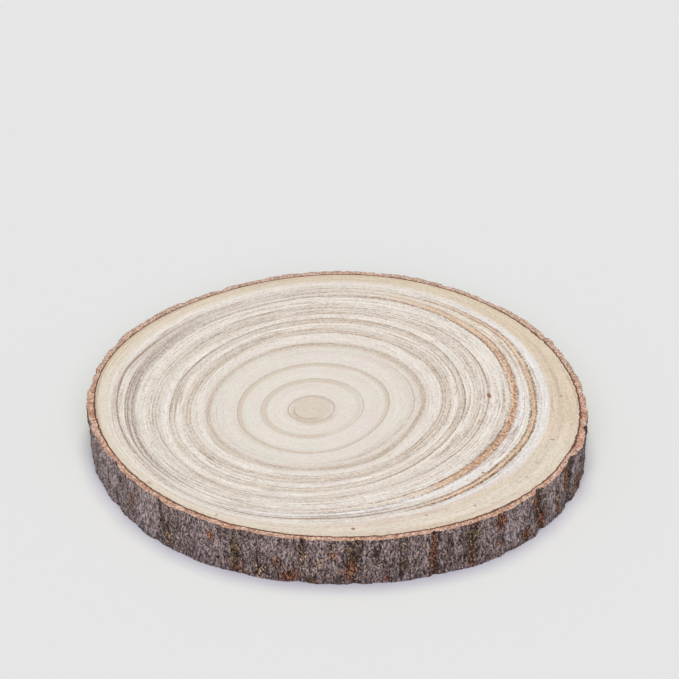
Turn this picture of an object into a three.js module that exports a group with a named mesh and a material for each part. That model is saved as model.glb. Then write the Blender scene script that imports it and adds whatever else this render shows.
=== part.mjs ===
// A slice sawn across a tree trunk: one disc of wood, still inside its own bark.
//
// Millimetres, +Z up. The slice lies flat on the plane z = 0, and the middle of its outline
// is on the Z axis. Angles are in degrees round the rim: 0 is +X, 90 is +Y, away from the
// front edge.

import * as THREE from 'three';
import { mergeVertices } from 'three/addons/utils/BufferGeometryUtils.js';

// Driving dimensions
const MEAN_RADIUS = 127;
const THICKNESS = 25.4;
const BARK_THICKNESS = 3.9;
const BARK_SWELL = 0.4;
const BARK_SWELL_AT = -46;

// The pith, where the tree began to grow, is off the middle.
const PITH = { x: -13.9, y: -10.8 };

// The trunk wasn't quite round. It bulges by a little over two lobes, three and so on.
const TRUNK_LOBES = [
  { lobes: 2, swing: 1.17, at: -47.7 },
  { lobes: 3, swing: 1.05, at: -45.6 },
  { lobes: 4, swing: 0.72, at: -20.7 },
  { lobes: 5, swing: 0.39, at: 19.5 },
];

// The bark's own swells, which the wood inside doesn't follow
const BARK_LOBES = [
  { lobes: 7, swing: 0.27, at: -14.5 },
  { lobes: 9, swing: 0.28, at: -12.0 },
  { lobes: 12, swing: 0.16, at: 8.9 },
];

// Furrows split the bark from face to face. Each is placed at the upper face. Its depth is
// from the plates beside it, and its width from shoulder to shoulder.
const FURROWS = [
  { at: -174, depth: 0.8, width: 4.0 },
  { at: -163, depth: 0.5, width: 3.0 },
  { at: -151, depth: 1.0, width: 5.0 },
  { at: -134, depth: 1.0, width: 3.6 },
  { at: -117, depth: 0.7, width: 3.0 },
  { at: -112, depth: 1.0, width: 5.4 },
  { at: -98, depth: 0.9, width: 4.0 },
  { at: -85.7, depth: 1.4, width: 4.6 },
  { at: -68.8, depth: 1.7, width: 3.0 },
  { at: -52, depth: 0.8, width: 4.6 },
  { at: -40.5, depth: 1.8, width: 6.0 },
  { at: -26, depth: 2.2, width: 6.4 },
  { at: -13, depth: 1.2, width: 4.0 },
  { at: 2.5, depth: 0.9, width: 4.0 },
  { at: 11, depth: 1.0, width: 4.4 },
  { at: 18, depth: 0.7, width: 4.0 },
  { at: 28.5, depth: 1.6, width: 4.6 },
  { at: 47, depth: 0.9, width: 3.8 },
  { at: 54.5, depth: 0.9, width: 4.4 },
  { at: 62.5, depth: 1.3, width: 3.8 },
  { at: 72, depth: 0.6, width: 4.0 },
  { at: 80, depth: 1.2, width: 3.6 },
  { at: 89, depth: 0.8, width: 3.4 },
  { at: 99, depth: 0.9, width: 4.4 },
  { at: 109, depth: 0.7, width: 4.0 },
  { at: 121, depth: 1.2, width: 6.0 },
  { at: 131, depth: 0.7, width: 3.4 },
  { at: 144, depth: 0.8, width: 4.0 },
  { at: 156.5, depth: 1.5, width: 6.0 },
  { at: 169, depth: 0.9, width: 4.4 },
];
const FURROW_LEAN = 7.0;
const FURROW_WANDER = 0.8;

// Ribs of bark that stand out between two furrows
const RIBS = [
  { at: -116, height: 0.4, width: 6 },
  { at: -20, height: 0.8, width: 9 },
  { at: 6.5, height: 0.4, width: 6 },
  { at: 137.5, height: 0.4, width: 9 },
  { at: 179, height: 0.4, width: 8 },
];

// The plates between the furrows stand proud of the mean outline, and are slightly lumpy.
const PLATE_HEIGHT = 0.13;
const PLATE_LUMPS = [
  { waves: 23, swing: 0.22, climb: 0.6 },
  { waves: 41, swing: 0.18, climb: -0.9 },
  { waves: 67, swing: 0.14, climb: 1.3 },
];

// How finely the surface is divided
const COLUMNS = 540;
const LEVELS = 5;

// Colours, roughness and metalness of the parts of its surface
const BARK_COLOUR = new THREE.Color(0x6a615f);
const RIND_COLOUR = new THREE.Color(0xb98566);
const WOOD_COLOUR = new THREE.Color(0xded2bd);
const ROUGHNESS = 0.85;
const METALNESS = 0;

// A number from 0 to 1 that is always the same for the same count.
function draw(count) {
  const value = Math.sin((count + 1) * 12.9898) * 43758.5453;
  return value - Math.floor(value);
}

// The way round the rim from one angle to another, in millimetres, by the shorter side.
function arc(from, to) {
  const turn = ((to - from + 540) % 360) - 180;
  return THREE.MathUtils.degToRad(turn) * MEAN_RADIUS;
}

// How far a set of lobes swings out there.
function lobeSwing(set, angle) {
  return set.reduce((sum, { lobes, swing, at }) => {
    return sum + swing * Math.cos(THREE.MathUtils.degToRad(lobes * (angle - at)));
  }, 0);
}

// The smooth outline of the trunk, without its furrows.
function trunkRadius(angle) {
  return MEAN_RADIUS + lobeSwing(TRUNK_LOBES, angle);
}

// Where the wood ends and the bark begins.
function woodRadius(angle) {
  const swell = BARK_SWELL * Math.cos(THREE.MathUtils.degToRad(angle - BARK_SWELL_AT));
  return trunkRadius(angle) - BARK_THICKNESS - swell;
}

// How deep the furrows cut the bark there. Each one leans and wanders on its way down.
function furrowDepth(angle, height) {
  const drop = 1 - height / THICKNESS;
  return FURROWS.reduce((depth, furrow, count) => {
    const lean = FURROW_LEAN * (draw(count) - 0.5) * drop;
    const turns = 0.5 + draw(count + FURROWS.length);
    const wander = FURROW_WANDER * Math.sin(2 * Math.PI * turns * drop);
    const away = arc(furrow.at, angle) - lean - wander;
    return depth + furrow.depth * Math.exp(-((2 * away / furrow.width) ** 2));
  }, 0);
}

// How far the ribs stand out there.
function ribHeight(angle) {
  return RIBS.reduce((sum, rib) => {
    return sum + rib.height * Math.exp(-((2 * arc(rib.at, angle) / rib.width) ** 2));
  }, 0);
}

// The low lumps on the plates of bark. They climb as waves from the lower face.
function plateLumps(angle, height) {
  return PLATE_LUMPS.reduce((lump, { waves, swing, climb }) => {
    const turn = THREE.MathUtils.degToRad(waves * angle);
    return lump + swing * Math.sin(turn + climb * 2 * Math.PI * height / THICKNESS);
  }, 0);
}

// The outside of the bark.
function barkRadius(angle, height) {
  const plate = trunkRadius(angle) + lobeSwing(BARK_LOBES, angle) + PLATE_HEIGHT;
  return plate + ribHeight(angle) + plateLumps(angle, height) - furrowDepth(angle, height);
}

// One closed ring of points, anticlockwise from above.
function ring(radius, height) {
  return Array.from({ length: COLUMNS }, (_, column) => {
    const angle = 360 * column / COLUMNS;
    const turn = THREE.MathUtils.degToRad(angle);
    const reach = radius(angle, height);
    return new THREE.Vector3(reach * Math.cos(turn), reach * Math.sin(turn), height);
  });
}

// Collects triangles, each with one colour.
class Skin {
  constructor() {
    this.positions = [];
    this.colours = [];
  }

  triangle(colour, ...corners) {
    for (const corner of corners) {
      this.positions.push(...corner);
      this.colours.push(colour.r, colour.g, colour.b);
    }
  }

  // A band from one ring up to the next, or in to it. It faces out, or up, if the rings run
  // anticlockwise.
  band(colour, first, second) {
    first.forEach((corner, column) => {
      const next = (column + 1) % first.length;
      this.triangle(colour, corner, first[next], second[next]);
      this.triangle(colour, corner, second[next], second[column]);
    });
  }

  // A fan from a ring to a middle point, which faces up if the ring runs anticlockwise.
  fan(colour, rim, middle) {
    rim.forEach((corner, column) => {
      this.triangle(colour, corner, rim[(column + 1) % rim.length], middle);
    });
  }

  geometry() {
    const soup = new THREE.BufferGeometry();
    soup.setAttribute('position', new THREE.Float32BufferAttribute(this.positions, 3));
    soup.setAttribute('color', new THREE.Float32BufferAttribute(this.colours, 3));
    const merged = mergeVertices(soup);
    merged.computeVertexNormals();
    return merged;
  }
}

// The bark's furrowed wall, from the lower face to the upper one.
function addWall(skin) {
  const rings = Array.from({ length: LEVELS + 1 }, (_, level) => {
    return ring(barkRadius, THICKNESS * level / LEVELS);
  });
  for (let level = 0; level < LEVELS; level += 1) {
    skin.band(BARK_COLOUR, rings[level], rings[level + 1]);
  }
}

// A sawn face: the cut rim of the bark, and the wood inside it. The lower face is the same
// with every ring run backwards, so that it faces down.
function addSawnFace(skin, height, facesUp) {
  const rim = ring(barkRadius, height);
  const wood = ring(woodRadius, height);
  const pith = new THREE.Vector3(PITH.x, PITH.y, height);
  if (!facesUp) {
    rim.reverse();
    wood.reverse();
  }
  skin.band(RIND_COLOUR, rim, wood);
  skin.fan(WOOD_COLOUR, wood, pith);
}

// The whole slice, with the middle of its outline moved onto the Z axis.
function woodSlice() {
  const skin = new Skin();
  addWall(skin);
  addSawnFace(skin, THICKNESS, true);
  addSawnFace(skin, 0, false);
  const geometry = skin.geometry();
  geometry.computeBoundingBox();
  const middle = geometry.boundingBox.getCenter(new THREE.Vector3());
  geometry.translate(-middle.x, -middle.y, 0);
  const material = new THREE.MeshStandardMaterial({
    vertexColors: true,
    roughness: ROUGHNESS,
    metalness: METALNESS,
  });
  const mesh = new THREE.Mesh(geometry, material);
  mesh.name = 'wood_slice';
  return mesh;
}

const group = new THREE.Group();
group.add(woodSlice());

export default group;
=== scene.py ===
"""A slice sawn across a tree trunk, lying on a plain pale floor.

The slice grew as one thing. It is shown as its sawn wood and the bark round that wood. Sizes
in the classes are in millimetres, and become metres where a mesh or a node takes them. Angles
are in degrees round the rim: 0 is +X, and 90 is +Y, away from the camera.
"""

import logging
import math
from dataclasses import dataclass
from enum import Enum

import bpy
import numpy as np
from mathutils import Matrix, Vector, noise

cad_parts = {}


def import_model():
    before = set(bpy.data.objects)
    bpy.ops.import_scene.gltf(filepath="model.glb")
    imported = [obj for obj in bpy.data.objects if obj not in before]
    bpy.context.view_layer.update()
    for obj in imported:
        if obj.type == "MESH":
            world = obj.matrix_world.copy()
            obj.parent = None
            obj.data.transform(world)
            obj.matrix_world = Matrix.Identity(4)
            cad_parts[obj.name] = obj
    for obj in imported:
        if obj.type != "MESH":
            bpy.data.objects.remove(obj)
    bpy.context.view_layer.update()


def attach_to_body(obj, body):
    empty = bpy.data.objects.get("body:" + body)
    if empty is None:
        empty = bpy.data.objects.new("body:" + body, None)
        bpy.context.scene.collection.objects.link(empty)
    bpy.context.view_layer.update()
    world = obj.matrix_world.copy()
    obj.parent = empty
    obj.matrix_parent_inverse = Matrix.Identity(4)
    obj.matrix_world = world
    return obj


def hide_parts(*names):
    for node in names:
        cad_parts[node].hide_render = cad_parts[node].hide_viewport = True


LOG = logging.getLogger("wood_slice")

MM = 0.001
NODE = "wood_slice"
BODY = "root"
BAKE_MAP = "OFBake"
BAKE_SIDE = 1024
HALF_TURN = 180.0
FULL_TURN = 360.0
SENSOR_WIDTH = 36.0

# How softly a growth ring ends on its way round, and the side of one that runs all the way
RING_END = 0.15
ANY_SIDE = -2.0

# The darkest that patterns make a colour, as a share of it
DARKEST = 0.08

# How far a pattern is moved upwards, against its shift across
SHIFT_UP = 0.7

Array = np.ndarray
Colour = tuple[int, int, int]
Socket = bpy.types.NodeSocket


def linear(colour: Colour) -> tuple[float, float, float, float]:
    """Turns a colour as a screen shows it into the linear one that a shader takes.

    Args:
        colour: Red, green and blue, from 0 to 255.

    Returns:
        The linear colour, with full alpha.
    """
    shares = [value / 255 for value in colour]
    red, green, blue = [
        share / 12.92 if share <= 0.04045 else ((share + 0.055) / 1.055) ** 2.4
        for share in shares
    ]
    return red, green, blue, 1.0


def draw(count: int) -> float:
    """Gives a number from 0 to 1 that is always the same for the same count."""
    value = math.sin((count + 1) * 12.9898) * 43758.5453
    return value - math.floor(value)


def smoothstep(low: float, high: float, value: Array) -> Array:
    """Rises smoothly from 0 at low to 1 at high."""
    share = np.clip((value - low) / (high - low), 0.0, 1.0)
    return share * share * (3.0 - 2.0 * share)


def turn_between(start: float, angle: Array) -> Array:
    """Measures the turn from one angle to others by the shorter side, with a sign."""
    return (angle - start + (FULL_TURN + HALF_TURN)) % FULL_TURN - HALF_TURN


def put(name: str, data: bpy.types.ID) -> bpy.types.Object:
    """Puts a mesh, a light or a camera in the scene.

    Args:
        name: The name of its object.
        data: The mesh, light or camera.

    Returns:
        The object, at the origin.
    """
    made = bpy.data.objects.new(name, data)
    bpy.context.scene.collection.objects.link(made)
    return made


@dataclass(frozen=True)
class Lobe:
    """A set of even bulges round the rim."""

    count: int
    swing: float
    at: float


@dataclass(frozen=True)
class Furrow:
    """A furrow that splits the bark from face to face, placed at the upper face."""

    at: float
    depth: float
    width: float


@dataclass(frozen=True)
class Rib:
    """A rib of bark that stands out between two furrows."""

    at: float
    height: float
    width: float


@dataclass(frozen=True)
class Lump:
    """Low waves on the plates of bark, which climb as they go round."""

    waves: int
    swing: float
    climb: float


@dataclass(frozen=True)
class Drift:
    """A place where the growth rings stray from their even shape.

    It is strongest in the ring of its age, and fades over its depth in age to either side, and
    over its reach in degrees each way round.
    """

    age: float
    depth: float
    at: float
    reach: float
    amount: float


@dataclass(frozen=True)
class Trunk:
    """The shape of the trunk that the slice was sawn from."""

    mean_radius: float = 127.0
    thickness: float = 25.4
    bark_thickness: float = 3.9
    bark_swell: float = 0.4
    bark_swell_at: float = -46.0
    pith: tuple[float, float] = (-13.9, -10.8)
    lobes: tuple[Lobe, ...] = (
        Lobe(2, 1.17, -47.7),
        Lobe(3, 1.05, -45.6),
        Lobe(4, 0.72, -20.7),
        Lobe(5, 0.39, 19.5),
    )
    bark_lobes: tuple[Lobe, ...] = (
        Lobe(7, 0.27, -14.5),
        Lobe(9, 0.28, -12.0),
        Lobe(12, 0.16, 8.9),
    )
    furrows: tuple[Furrow, ...] = (
        Furrow(-174, 0.8, 4.0),
        Furrow(-163, 0.5, 3.0),
        Furrow(-151, 1.0, 5.0),
        Furrow(-134, 1.0, 3.6),
        Furrow(-117, 0.7, 3.0),
        Furrow(-112, 1.0, 5.4),
        Furrow(-98, 0.9, 4.0),
        Furrow(-85.7, 1.4, 4.6),
        Furrow(-68.8, 1.7, 3.0),
        Furrow(-52, 0.8, 4.6),
        Furrow(-40.5, 1.8, 6.0),
        Furrow(-26, 2.2, 6.4),
        Furrow(-13, 1.2, 4.0),
        Furrow(2.5, 0.9, 4.0),
        Furrow(11, 1.0, 4.4),
        Furrow(18, 0.7, 4.0),
        Furrow(28.5, 1.6, 4.6),
        Furrow(47, 0.9, 3.8),
        Furrow(54.5, 0.9, 4.4),
        Furrow(62.5, 1.3, 3.8),
        Furrow(72, 0.6, 4.0),
        Furrow(80, 1.2, 3.6),
        Furrow(89, 0.8, 3.4),
        Furrow(99, 0.9, 4.4),
        Furrow(109, 0.7, 4.0),
        Furrow(121, 1.2, 6.0),
        Furrow(131, 0.7, 3.4),
        Furrow(144, 0.8, 4.0),
        Furrow(156.5, 1.5, 6.0),
        Furrow(169, 0.9, 4.4),
    )
    furrow_lean: float = 7.0
    furrow_wander: float = 0.8
    ribs: tuple[Rib, ...] = (
        Rib(-116, 0.4, 6),
        Rib(-20, 0.8, 9),
        Rib(6.5, 0.4, 6),
        Rib(137.5, 0.4, 9),
        Rib(179, 0.4, 8),
    )
    plate_height: float = 0.13
    lumps: tuple[Lump, ...] = (
        Lump(23, 0.22, 0.6),
        Lump(41, 0.18, -0.9),
        Lump(67, 0.14, 1.3),
    )
    oldest_ring: float = 122.5
    drifts: tuple[Drift, ...] = (
        Drift(40.0, 8.0, -75, 40, 2.4),
        Drift(58.0, 9.0, -58, 34, 4.4),
        Drift(58.0, 9.0, 5, 20, 1.2),
        Drift(70.5, 4.0, -50, 24, 1.6),
        Drift(70.5, 4.0, -15, 18, 1.0),
        Drift(78.0, 6.0, -72, 36, 2.6),
        Drift(78.0, 5.0, -132, 18, 1.2),
        Drift(78.0, 5.0, 25, 25, -1.5),
        Drift(78.0, 5.0, 135, 32, -1.8),
        Drift(78.0, 5.0, 180, 14, -0.8),
        Drift(99.5, 3.2, 36, 8, 0.8),
        Drift(99.5, 3.2, 68, 20, 3.0),
        Drift(99.5, 3.2, 152, 25, 1.2),
        Drift(99.5, 3.2, -118, 14, 0.8),
        Drift(99.5, 3.2, -160, 18, 0.8),
        Drift(107.0, 3.4, -146, 18, -2.0),
        Drift(107.0, 3.4, -90, 8, -0.7),
        Drift(107.0, 3.4, -12, 9, 1.2),
        Drift(107.0, 3.4, 14, 12, -1.0),
        Drift(107.0, 3.4, 38, 9, 1.1),
        Drift(107.0, 3.6, 109, 13, -2.4),
        Drift(107.0, 3.4, 160, 13, 1.6),
    )
    frame_columns: int = 540
    frame_levels: int = 5
    shift_across: float = 5.5
    late_shift_across: float = 8.2
    shift_along: float = 11.5
    oval: float = 9.8
    oval_at: float = 61.0
    three_sided: float = 0.8
    three_sided_at: float = -48.0
    four_sided: float = 1.0
    four_sided_at: float = -24.0
    edge_steps: int = 20

    def arc(self, start: float, angle: Array) -> Array:
        """Measures the way round the rim from one angle to others, in millimetres with a sign."""
        return np.radians(turn_between(start, angle)) * self.mean_radius

    @staticmethod
    def swing(lobes: tuple[Lobe, ...], angle: Array) -> Array:
        """Adds up how far a set of lobes swings out at each angle, in millimetres."""
        return sum(lobe.swing * np.cos(np.radians(lobe.count * (angle - lobe.at))) for lobe in lobes)

    def trunk_radius(self, angle: Array) -> Array:
        """Gives the trunk's smooth outline, without its furrows."""
        return self.mean_radius + self.swing(self.lobes, angle)

    def wood_radius(self, angle: Array) -> Array:
        """Gives the line where the wood ends and the bark begins."""
        swell = self.bark_swell * np.cos(np.radians(angle - self.bark_swell_at))
        return self.trunk_radius(angle) - self.bark_thickness - swell

    def furrow_depth(self, angle: Array, height: Array) -> Array:
        """Adds up how deep the furrows cut, as each leans and wanders on its way down.

        Args:
            angle: Where round the rim.
            height: How far above the lower face.

        Returns:
            The depth, in millimetres.
        """
        drop = 1.0 - height / self.thickness
        depth = np.zeros(np.broadcast(angle, height).shape)
        for count, furrow in enumerate(self.furrows):
            lean = self.furrow_lean * (draw(count) - 0.5) * drop
            turns = 0.5 + draw(count + len(self.furrows))
            wander = self.furrow_wander * np.sin(2.0 * math.pi * turns * drop)
            away = self.arc(furrow.at, angle) - lean - wander
            depth = depth + furrow.depth * np.exp(-((2.0 * away / furrow.width) ** 2))
        return depth

    def plate_radius(self, angle: Array, height: Array) -> Array:
        """Gives the outside of the bark as it would be with its furrows filled.

        Args:
            angle: Where round the rim.
            height: How far above the lower face.

        Returns:
            The radius, in millimetres.
        """
        radius = self.trunk_radius(angle) + self.swing(self.bark_lobes, angle) + self.plate_height
        for rib in self.ribs:
            radius = radius + rib.height * self.rib_share(rib, angle)
        for lump in self.lumps:
            climb = lump.climb * 2.0 * math.pi * height / self.thickness
            radius = radius + lump.swing * np.sin(np.radians(lump.waves * angle) + climb)
        return radius

    def rib_share(self, rib: Rib, angle: Array) -> Array:
        """Gives how much of a rib's height there is at each angle, from 0 to 1."""
        return np.exp(-((2.0 * self.arc(rib.at, angle) / rib.width) ** 2))

    def middle(self) -> tuple[float, float]:
        """Finds the middle of the outline, which the frame puts on the Z axis.

        Returns:
            Its X and Y, counted from the trunk's own centre.
        """
        angle = FULL_TURN * np.arange(self.frame_columns)[:, None] / self.frame_columns
        height = self.thickness * np.arange(self.frame_levels + 1)[None, :] / self.frame_levels
        radius = self.plate_radius(angle, height) - self.furrow_depth(angle, height)
        across = radius * np.cos(np.radians(angle))
        along = radius * np.sin(np.radians(angle))
        return (across.max() + across.min()) / 2.0, (along.max() + along.min()) / 2.0

    def pith_place(self) -> tuple[float, float]:
        """Gives the pith's X and Y in the frame, in millimetres."""
        middle = self.middle()
        return self.pith[0] - middle[0], self.pith[1] - middle[1]

    def edge_from_pith(self, angle: Array) -> Array:
        """Finds how far the wood reaches from the pith.

        Args:
            angle: The ways out from the pith.

        Returns:
            The distances, in millimetres.
        """
        way = np.stack([np.cos(np.radians(angle)), np.sin(np.radians(angle))], -1)
        reach = np.full(angle.shape, self.oldest_ring)
        for _ in range(self.edge_steps):
            point = np.array(self.pith) + way * reach[..., None]
            round_rim = np.degrees(np.arctan2(point[..., 1], point[..., 0]))
            reach = reach + self.wood_radius(round_rim) - np.hypot(point[..., 0], point[..., 1])
        return reach

    def ring_family(self, age: Array, angle: Array) -> Array:
        """Gives the even shape of the rings: off centre, then oval, then with three and four sides.

        Args:
            age: The ring's mean distance from the pith, in millimetres.
            angle: The ways out from the pith, in degrees.

        Returns:
            The distance from the pith, in millimetres.
        """
        share = age / self.oldest_ring
        turn = np.radians(angle)
        across = self.shift_across * share**1.5 + self.late_shift_across * share**8
        along = self.shift_along * share**2 * (3.0 - 2.0 * share)
        oval = self.oval * share**1.2 * (1.0 - share**4)
        oval = oval * np.cos(2.0 * (turn - math.radians(self.oval_at)))
        three = self.three_sided * share**3 * np.cos(3.0 * (turn - math.radians(self.three_sided_at)))
        four = self.four_sided * share**6 * np.cos(4.0 * (turn - math.radians(self.four_sided_at)))
        return age + (across * np.cos(turn) + along * np.sin(turn)) + oval + three + four

    def ring_radius(self, age: Array, angle: Array) -> Array:
        """Gives the shape of each growth ring: young rings are oval, old ones follow the edge.

        Args:
            age: The ring's mean distance from the pith, in millimetres.
            angle: The ways out from the pith, in degrees.

        Returns:
            The distance from the pith, in millimetres.
        """
        oldest = self.ring_family(np.full_like(angle, self.oldest_ring), angle)
        short = self.edge_from_pith(angle) - oldest
        reach = self.ring_family(age, angle) + short * (age / self.oldest_ring) ** 6
        for drift in self.drifts:
            aside = turn_between(drift.at, angle) / drift.reach
            fade = np.exp(-(((age - drift.age) / drift.depth) ** 2) - aside**2)
            reach = reach + drift.amount * fade
        return reach


@dataclass(frozen=True)
class Rise:
    """A smooth rise from 0 at low to its reach at high, which may be the lower number."""

    low: float
    high: float
    reach: float = 1.0


@dataclass(frozen=True)
class Amount:
    """How strongly something shows where it is weakest, and what it gains where it is strongest."""

    least: float
    gain: float


@dataclass(frozen=True)
class Cloud:
    """A cloudy or grainy pattern.

    So many of its clouds fit in a millimetre. It has finer layers, which are rough or faint. Its
    squeeze is under 1 where its clouds are drawn out along the grain.
    """

    per_mm: float
    detail: float = 2.0
    rough: float = 0.5
    squeeze: float = 1.0


class Graph:
    """Adds the nodes of one tree and links them."""

    def __init__(self, tree: bpy.types.NodeTree) -> None:
        """Starts with an empty tree.

        Args:
            tree: The tree, which loses the nodes that it has.
        """
        self.tree = tree
        self.tree.nodes.clear()

    @classmethod
    def group(cls, name: str, kind: str, inputs: dict[str, str], output: str) -> "Graph":
        """Starts a group of nodes.

        Args:
            name: The group's name.
            kind: What it is for, Shader or Geometry.
            inputs: The type of each input, by its name.
            output: The name of its one output, which has the type of the input of that name.

        Returns:
            The graph.
        """
        tree = bpy.data.node_groups.new(name, kind + "NodeTree")
        for label, socket in inputs.items():
            tree.interface.new_socket(name=label, in_out="INPUT", socket_type="NodeSocket" + socket)
        kept = "NodeSocket" + inputs[output]
        tree.interface.new_socket(name=output, in_out="OUTPUT", socket_type=kept)
        return cls(tree)

    def add(self, kind: str, inputs: dict[object, object], **settings: object) -> bpy.types.Node:
        """Adds a node.

        Args:
            kind: Its type.
            inputs: What feeds each input, by its name or number: an output of another node,
                or a plain value.
            **settings: Its properties.

        Returns:
            The node.
        """
        made = self.tree.nodes.new(kind)
        for name, value in settings.items():
            setattr(made, name, value)
        for name, value in inputs.items():
            if isinstance(value, bpy.types.NodeSocket):
                self.tree.links.new(value, made.inputs[name])
            else:
                made.inputs[name].default_value = value
        return made

    def math(self, operation: str, *values: object) -> Socket:
        """Works out one sum of numbers."""
        return self.add("ShaderNodeMath", dict(enumerate(values)), operation=operation).outputs[0]

    def vector(self, operation: str, *values: object) -> bpy.types.Node:
        """Works out one sum of vectors, and gives the node, which has two outputs."""
        return self.add("ShaderNodeVectorMath", dict(enumerate(values)), operation=operation)

    def step(self, value: object, low: object, high: object, reach: object = 1.0) -> Socket:
        """Rises smoothly from 0, where the value is low, to reach, where it is high."""
        inputs = dict(enumerate((value, low, high, 0.0, reach)))
        return self.add("ShaderNodeMapRange", inputs, interpolation_type="SMOOTHSTEP").outputs[0]

    def mix(self, share: object, first: object, second: object) -> Socket:
        """Lays a share of the second colour over the first one."""
        return self.add("ShaderNodeMix", {0: share, 6: first, 7: second}, data_type="RGBA").outputs[2]


class Shader(Graph):
    """Adds the nodes of one material."""

    def __init__(self, name: str) -> None:
        """Starts an empty material.

        Args:
            name: The material's name.
        """
        self.material = bpy.data.materials.new(name)
        self.material.use_nodes = True
        super().__init__(self.material.node_tree)

    def place(self) -> Socket:
        """Gives the place on the object, in millimetres."""
        given = self.add("ShaderNodeTexCoord", {}).outputs["Object"]
        return self.scaled(given, 1.0 / MM, 1.0 / MM, 1.0 / MM)

    def attribute(self, name: str) -> Socket:
        """Reads a number that the mesh holds."""
        return self.add("ShaderNodeAttribute", {}, attribute_name=name).outputs["Fac"]

    def scaled(self, vector: Socket, across: float, along: float, up: float) -> Socket:
        """Stretches a vector along X, Y and Z."""
        return self.vector("MULTIPLY", vector, (across, along, up)).outputs[0]

    def parts(self, vector: Socket) -> list[Socket]:
        """Gives a vector's X, Y and Z."""
        return list(self.add("ShaderNodeSeparateXYZ", {0: vector}).outputs)

    def rise(self, value: Socket, wanted: Rise) -> Socket:
        """Rises smoothly as a finish says."""
        return self.step(value, wanted.low, wanted.high, wanted.reach)

    def amount(self, share: Socket, wanted: Amount) -> Socket:
        """Gives an amount that grows with a share from 0 to 1."""
        return self.math("MULTIPLY_ADD", share, wanted.gain, wanted.least)

    def stray(self, value: object, pattern: Socket, amount: object) -> Socket:
        """Makes a number stray by a pattern that is about a half on average."""
        return self.math("MULTIPLY_ADD", self.math("SUBTRACT", pattern, 0.5), amount, value)

    def noise(self, where: Socket, cloud: Cloud) -> Socket:
        """Adds a cloudy pattern.

        Args:
            where: The place in it, in millimetres.
            cloud: What the pattern is like.

        Returns:
            Its strength, about a half on average.
        """
        return self.add("ShaderNodeTexNoise", {
            "Vector": where,
            "Scale": cloud.per_mm,
            "Detail": cloud.detail,
            "Roughness": cloud.rough,
        }).outputs[0]

    def chance(self, where: Socket, cloud: Cloud) -> list[Socket]:
        """Gives three numbers from 0 to 1 that differ from grain to grain."""
        cells = self.add("ShaderNodeTexVoronoi", {"Vector": where, "Scale": cloud.per_mm})
        return list(self.add("ShaderNodeSeparateColor", {0: cells.outputs["Color"]}).outputs)

    def vary(self, colour: Socket, *changes: tuple[Socket, object]) -> Socket:
        """Makes a colour lighter and darker by some patterns.

        Args:
            colour: The colour.
            *changes: Each pattern, about a half on average, with how much it changes the colour.

        Returns:
            The varied colour.
        """
        total: object = 1.0
        for pattern, amount in changes:
            total = self.stray(total, pattern, amount)
        made = self.vector("SCALE", colour)
        self.tree.links.new(self.math("MAXIMUM", total, DARKEST), made.inputs["Scale"])
        return made.outputs[0]

    def finish(self, colour: Socket, height: Socket, depth: float, rough: float,
               shine: float) -> bpy.types.Material:
        """Ends the material with a dull surface.

        Args:
            colour: Its colour.
            height: The pattern of its fine relief.
            depth: How deep that relief is, in millimetres.
            rough: Its roughness.
            shine: Its specular level.

        Returns:
            The material.
        """
        bump = self.add("ShaderNodeBump", {"Strength": 1.0, "Distance": depth * MM, "Height": height})
        surface = self.add("ShaderNodeBsdfPrincipled", {
            "Base Color": colour,
            "Roughness": rough,
            "Specular IOR Level": shine,
            "Normal": bump.outputs[0],
        })
        self.add("ShaderNodeOutputMaterial", {"Surface": surface.outputs[0]})
        return self.material


class Tone(Enum):
    """The colours of the sawn wood."""

    LIGHT = (233, 225, 216)
    BASE = (226, 216, 205)
    WHITE = (238, 235, 235)
    CREAM = (230, 216, 196)
    STRAW = (222, 202, 174)
    TAN = (205, 187, 165)
    BROWN = (150, 116, 88)
    DARK = (112, 80, 60)
    ORANGE = (230, 187, 143)
    RUST = (172, 118, 84)
    ASH = (214, 201, 193)
    GREY = (188, 172, 160)
    PURPLE = (100, 80, 80)
    DUSK = (148, 127, 106)
    PALE = (241, 233, 224)
    ROSE = (214, 188, 170)
    PITH = (214, 200, 183)
    GREEN = (222, 224, 208)
    PINK = (232, 218, 216)


@dataclass(frozen=True)
class Ring:
    """A growth ring, or one line of it, as it shows on the sawn face.

    Its age is its mean distance from the pith. It shows on the side that it faces, as far
    round as its reach each way, and is broken into dots by its pores.
    """

    age: float
    width: float
    softness: float
    tone: Tone
    strength: float
    facing: float = 0.0
    reach: float = 200.0
    broken: float = 0.25


def ring_group() -> bpy.types.NodeTree:
    """Makes the node group that lays one growth ring over a colour.

    Returns:
        The group.
    """
    graph = Graph.group("growth_ring", "Shader", {
        "Colour": "Color",
        "Age": "Float",
        "Way": "Vector",
        "Pores": "Float",
        "Ring Age": "Float",
        "Inner": "Float",
        "Outer": "Float",
        "Tone": "Color",
        "Strength": "Float",
        "Facing": "Vector",
        "Side": "Float",
        "Broken": "Float",
    }, "Colour")
    given = graph.add("NodeGroupInput", {}).outputs
    away = graph.math("ABSOLUTE", graph.math("SUBTRACT", given["Age"], given["Ring Age"]))
    band = graph.step(away, given["Outer"], given["Inner"])
    facing = graph.vector("DOT_PRODUCT", given["Way"], given["Facing"]).outputs["Value"]
    turned = graph.step(graph.math("SUBTRACT", facing, given["Side"]), -RING_END, RING_END)
    share = graph.math("MULTIPLY", band, graph.math("MULTIPLY", turned, given["Strength"]))
    gap = graph.math("MULTIPLY", given["Pores"], given["Broken"])
    share = graph.math("MULTIPLY", share, graph.math("SUBTRACT", 1.0, gap))
    laid = graph.mix(share, given["Colour"], given["Tone"])
    graph.add("NodeGroupOutput", {"Colour": laid})
    return graph.tree


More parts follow.
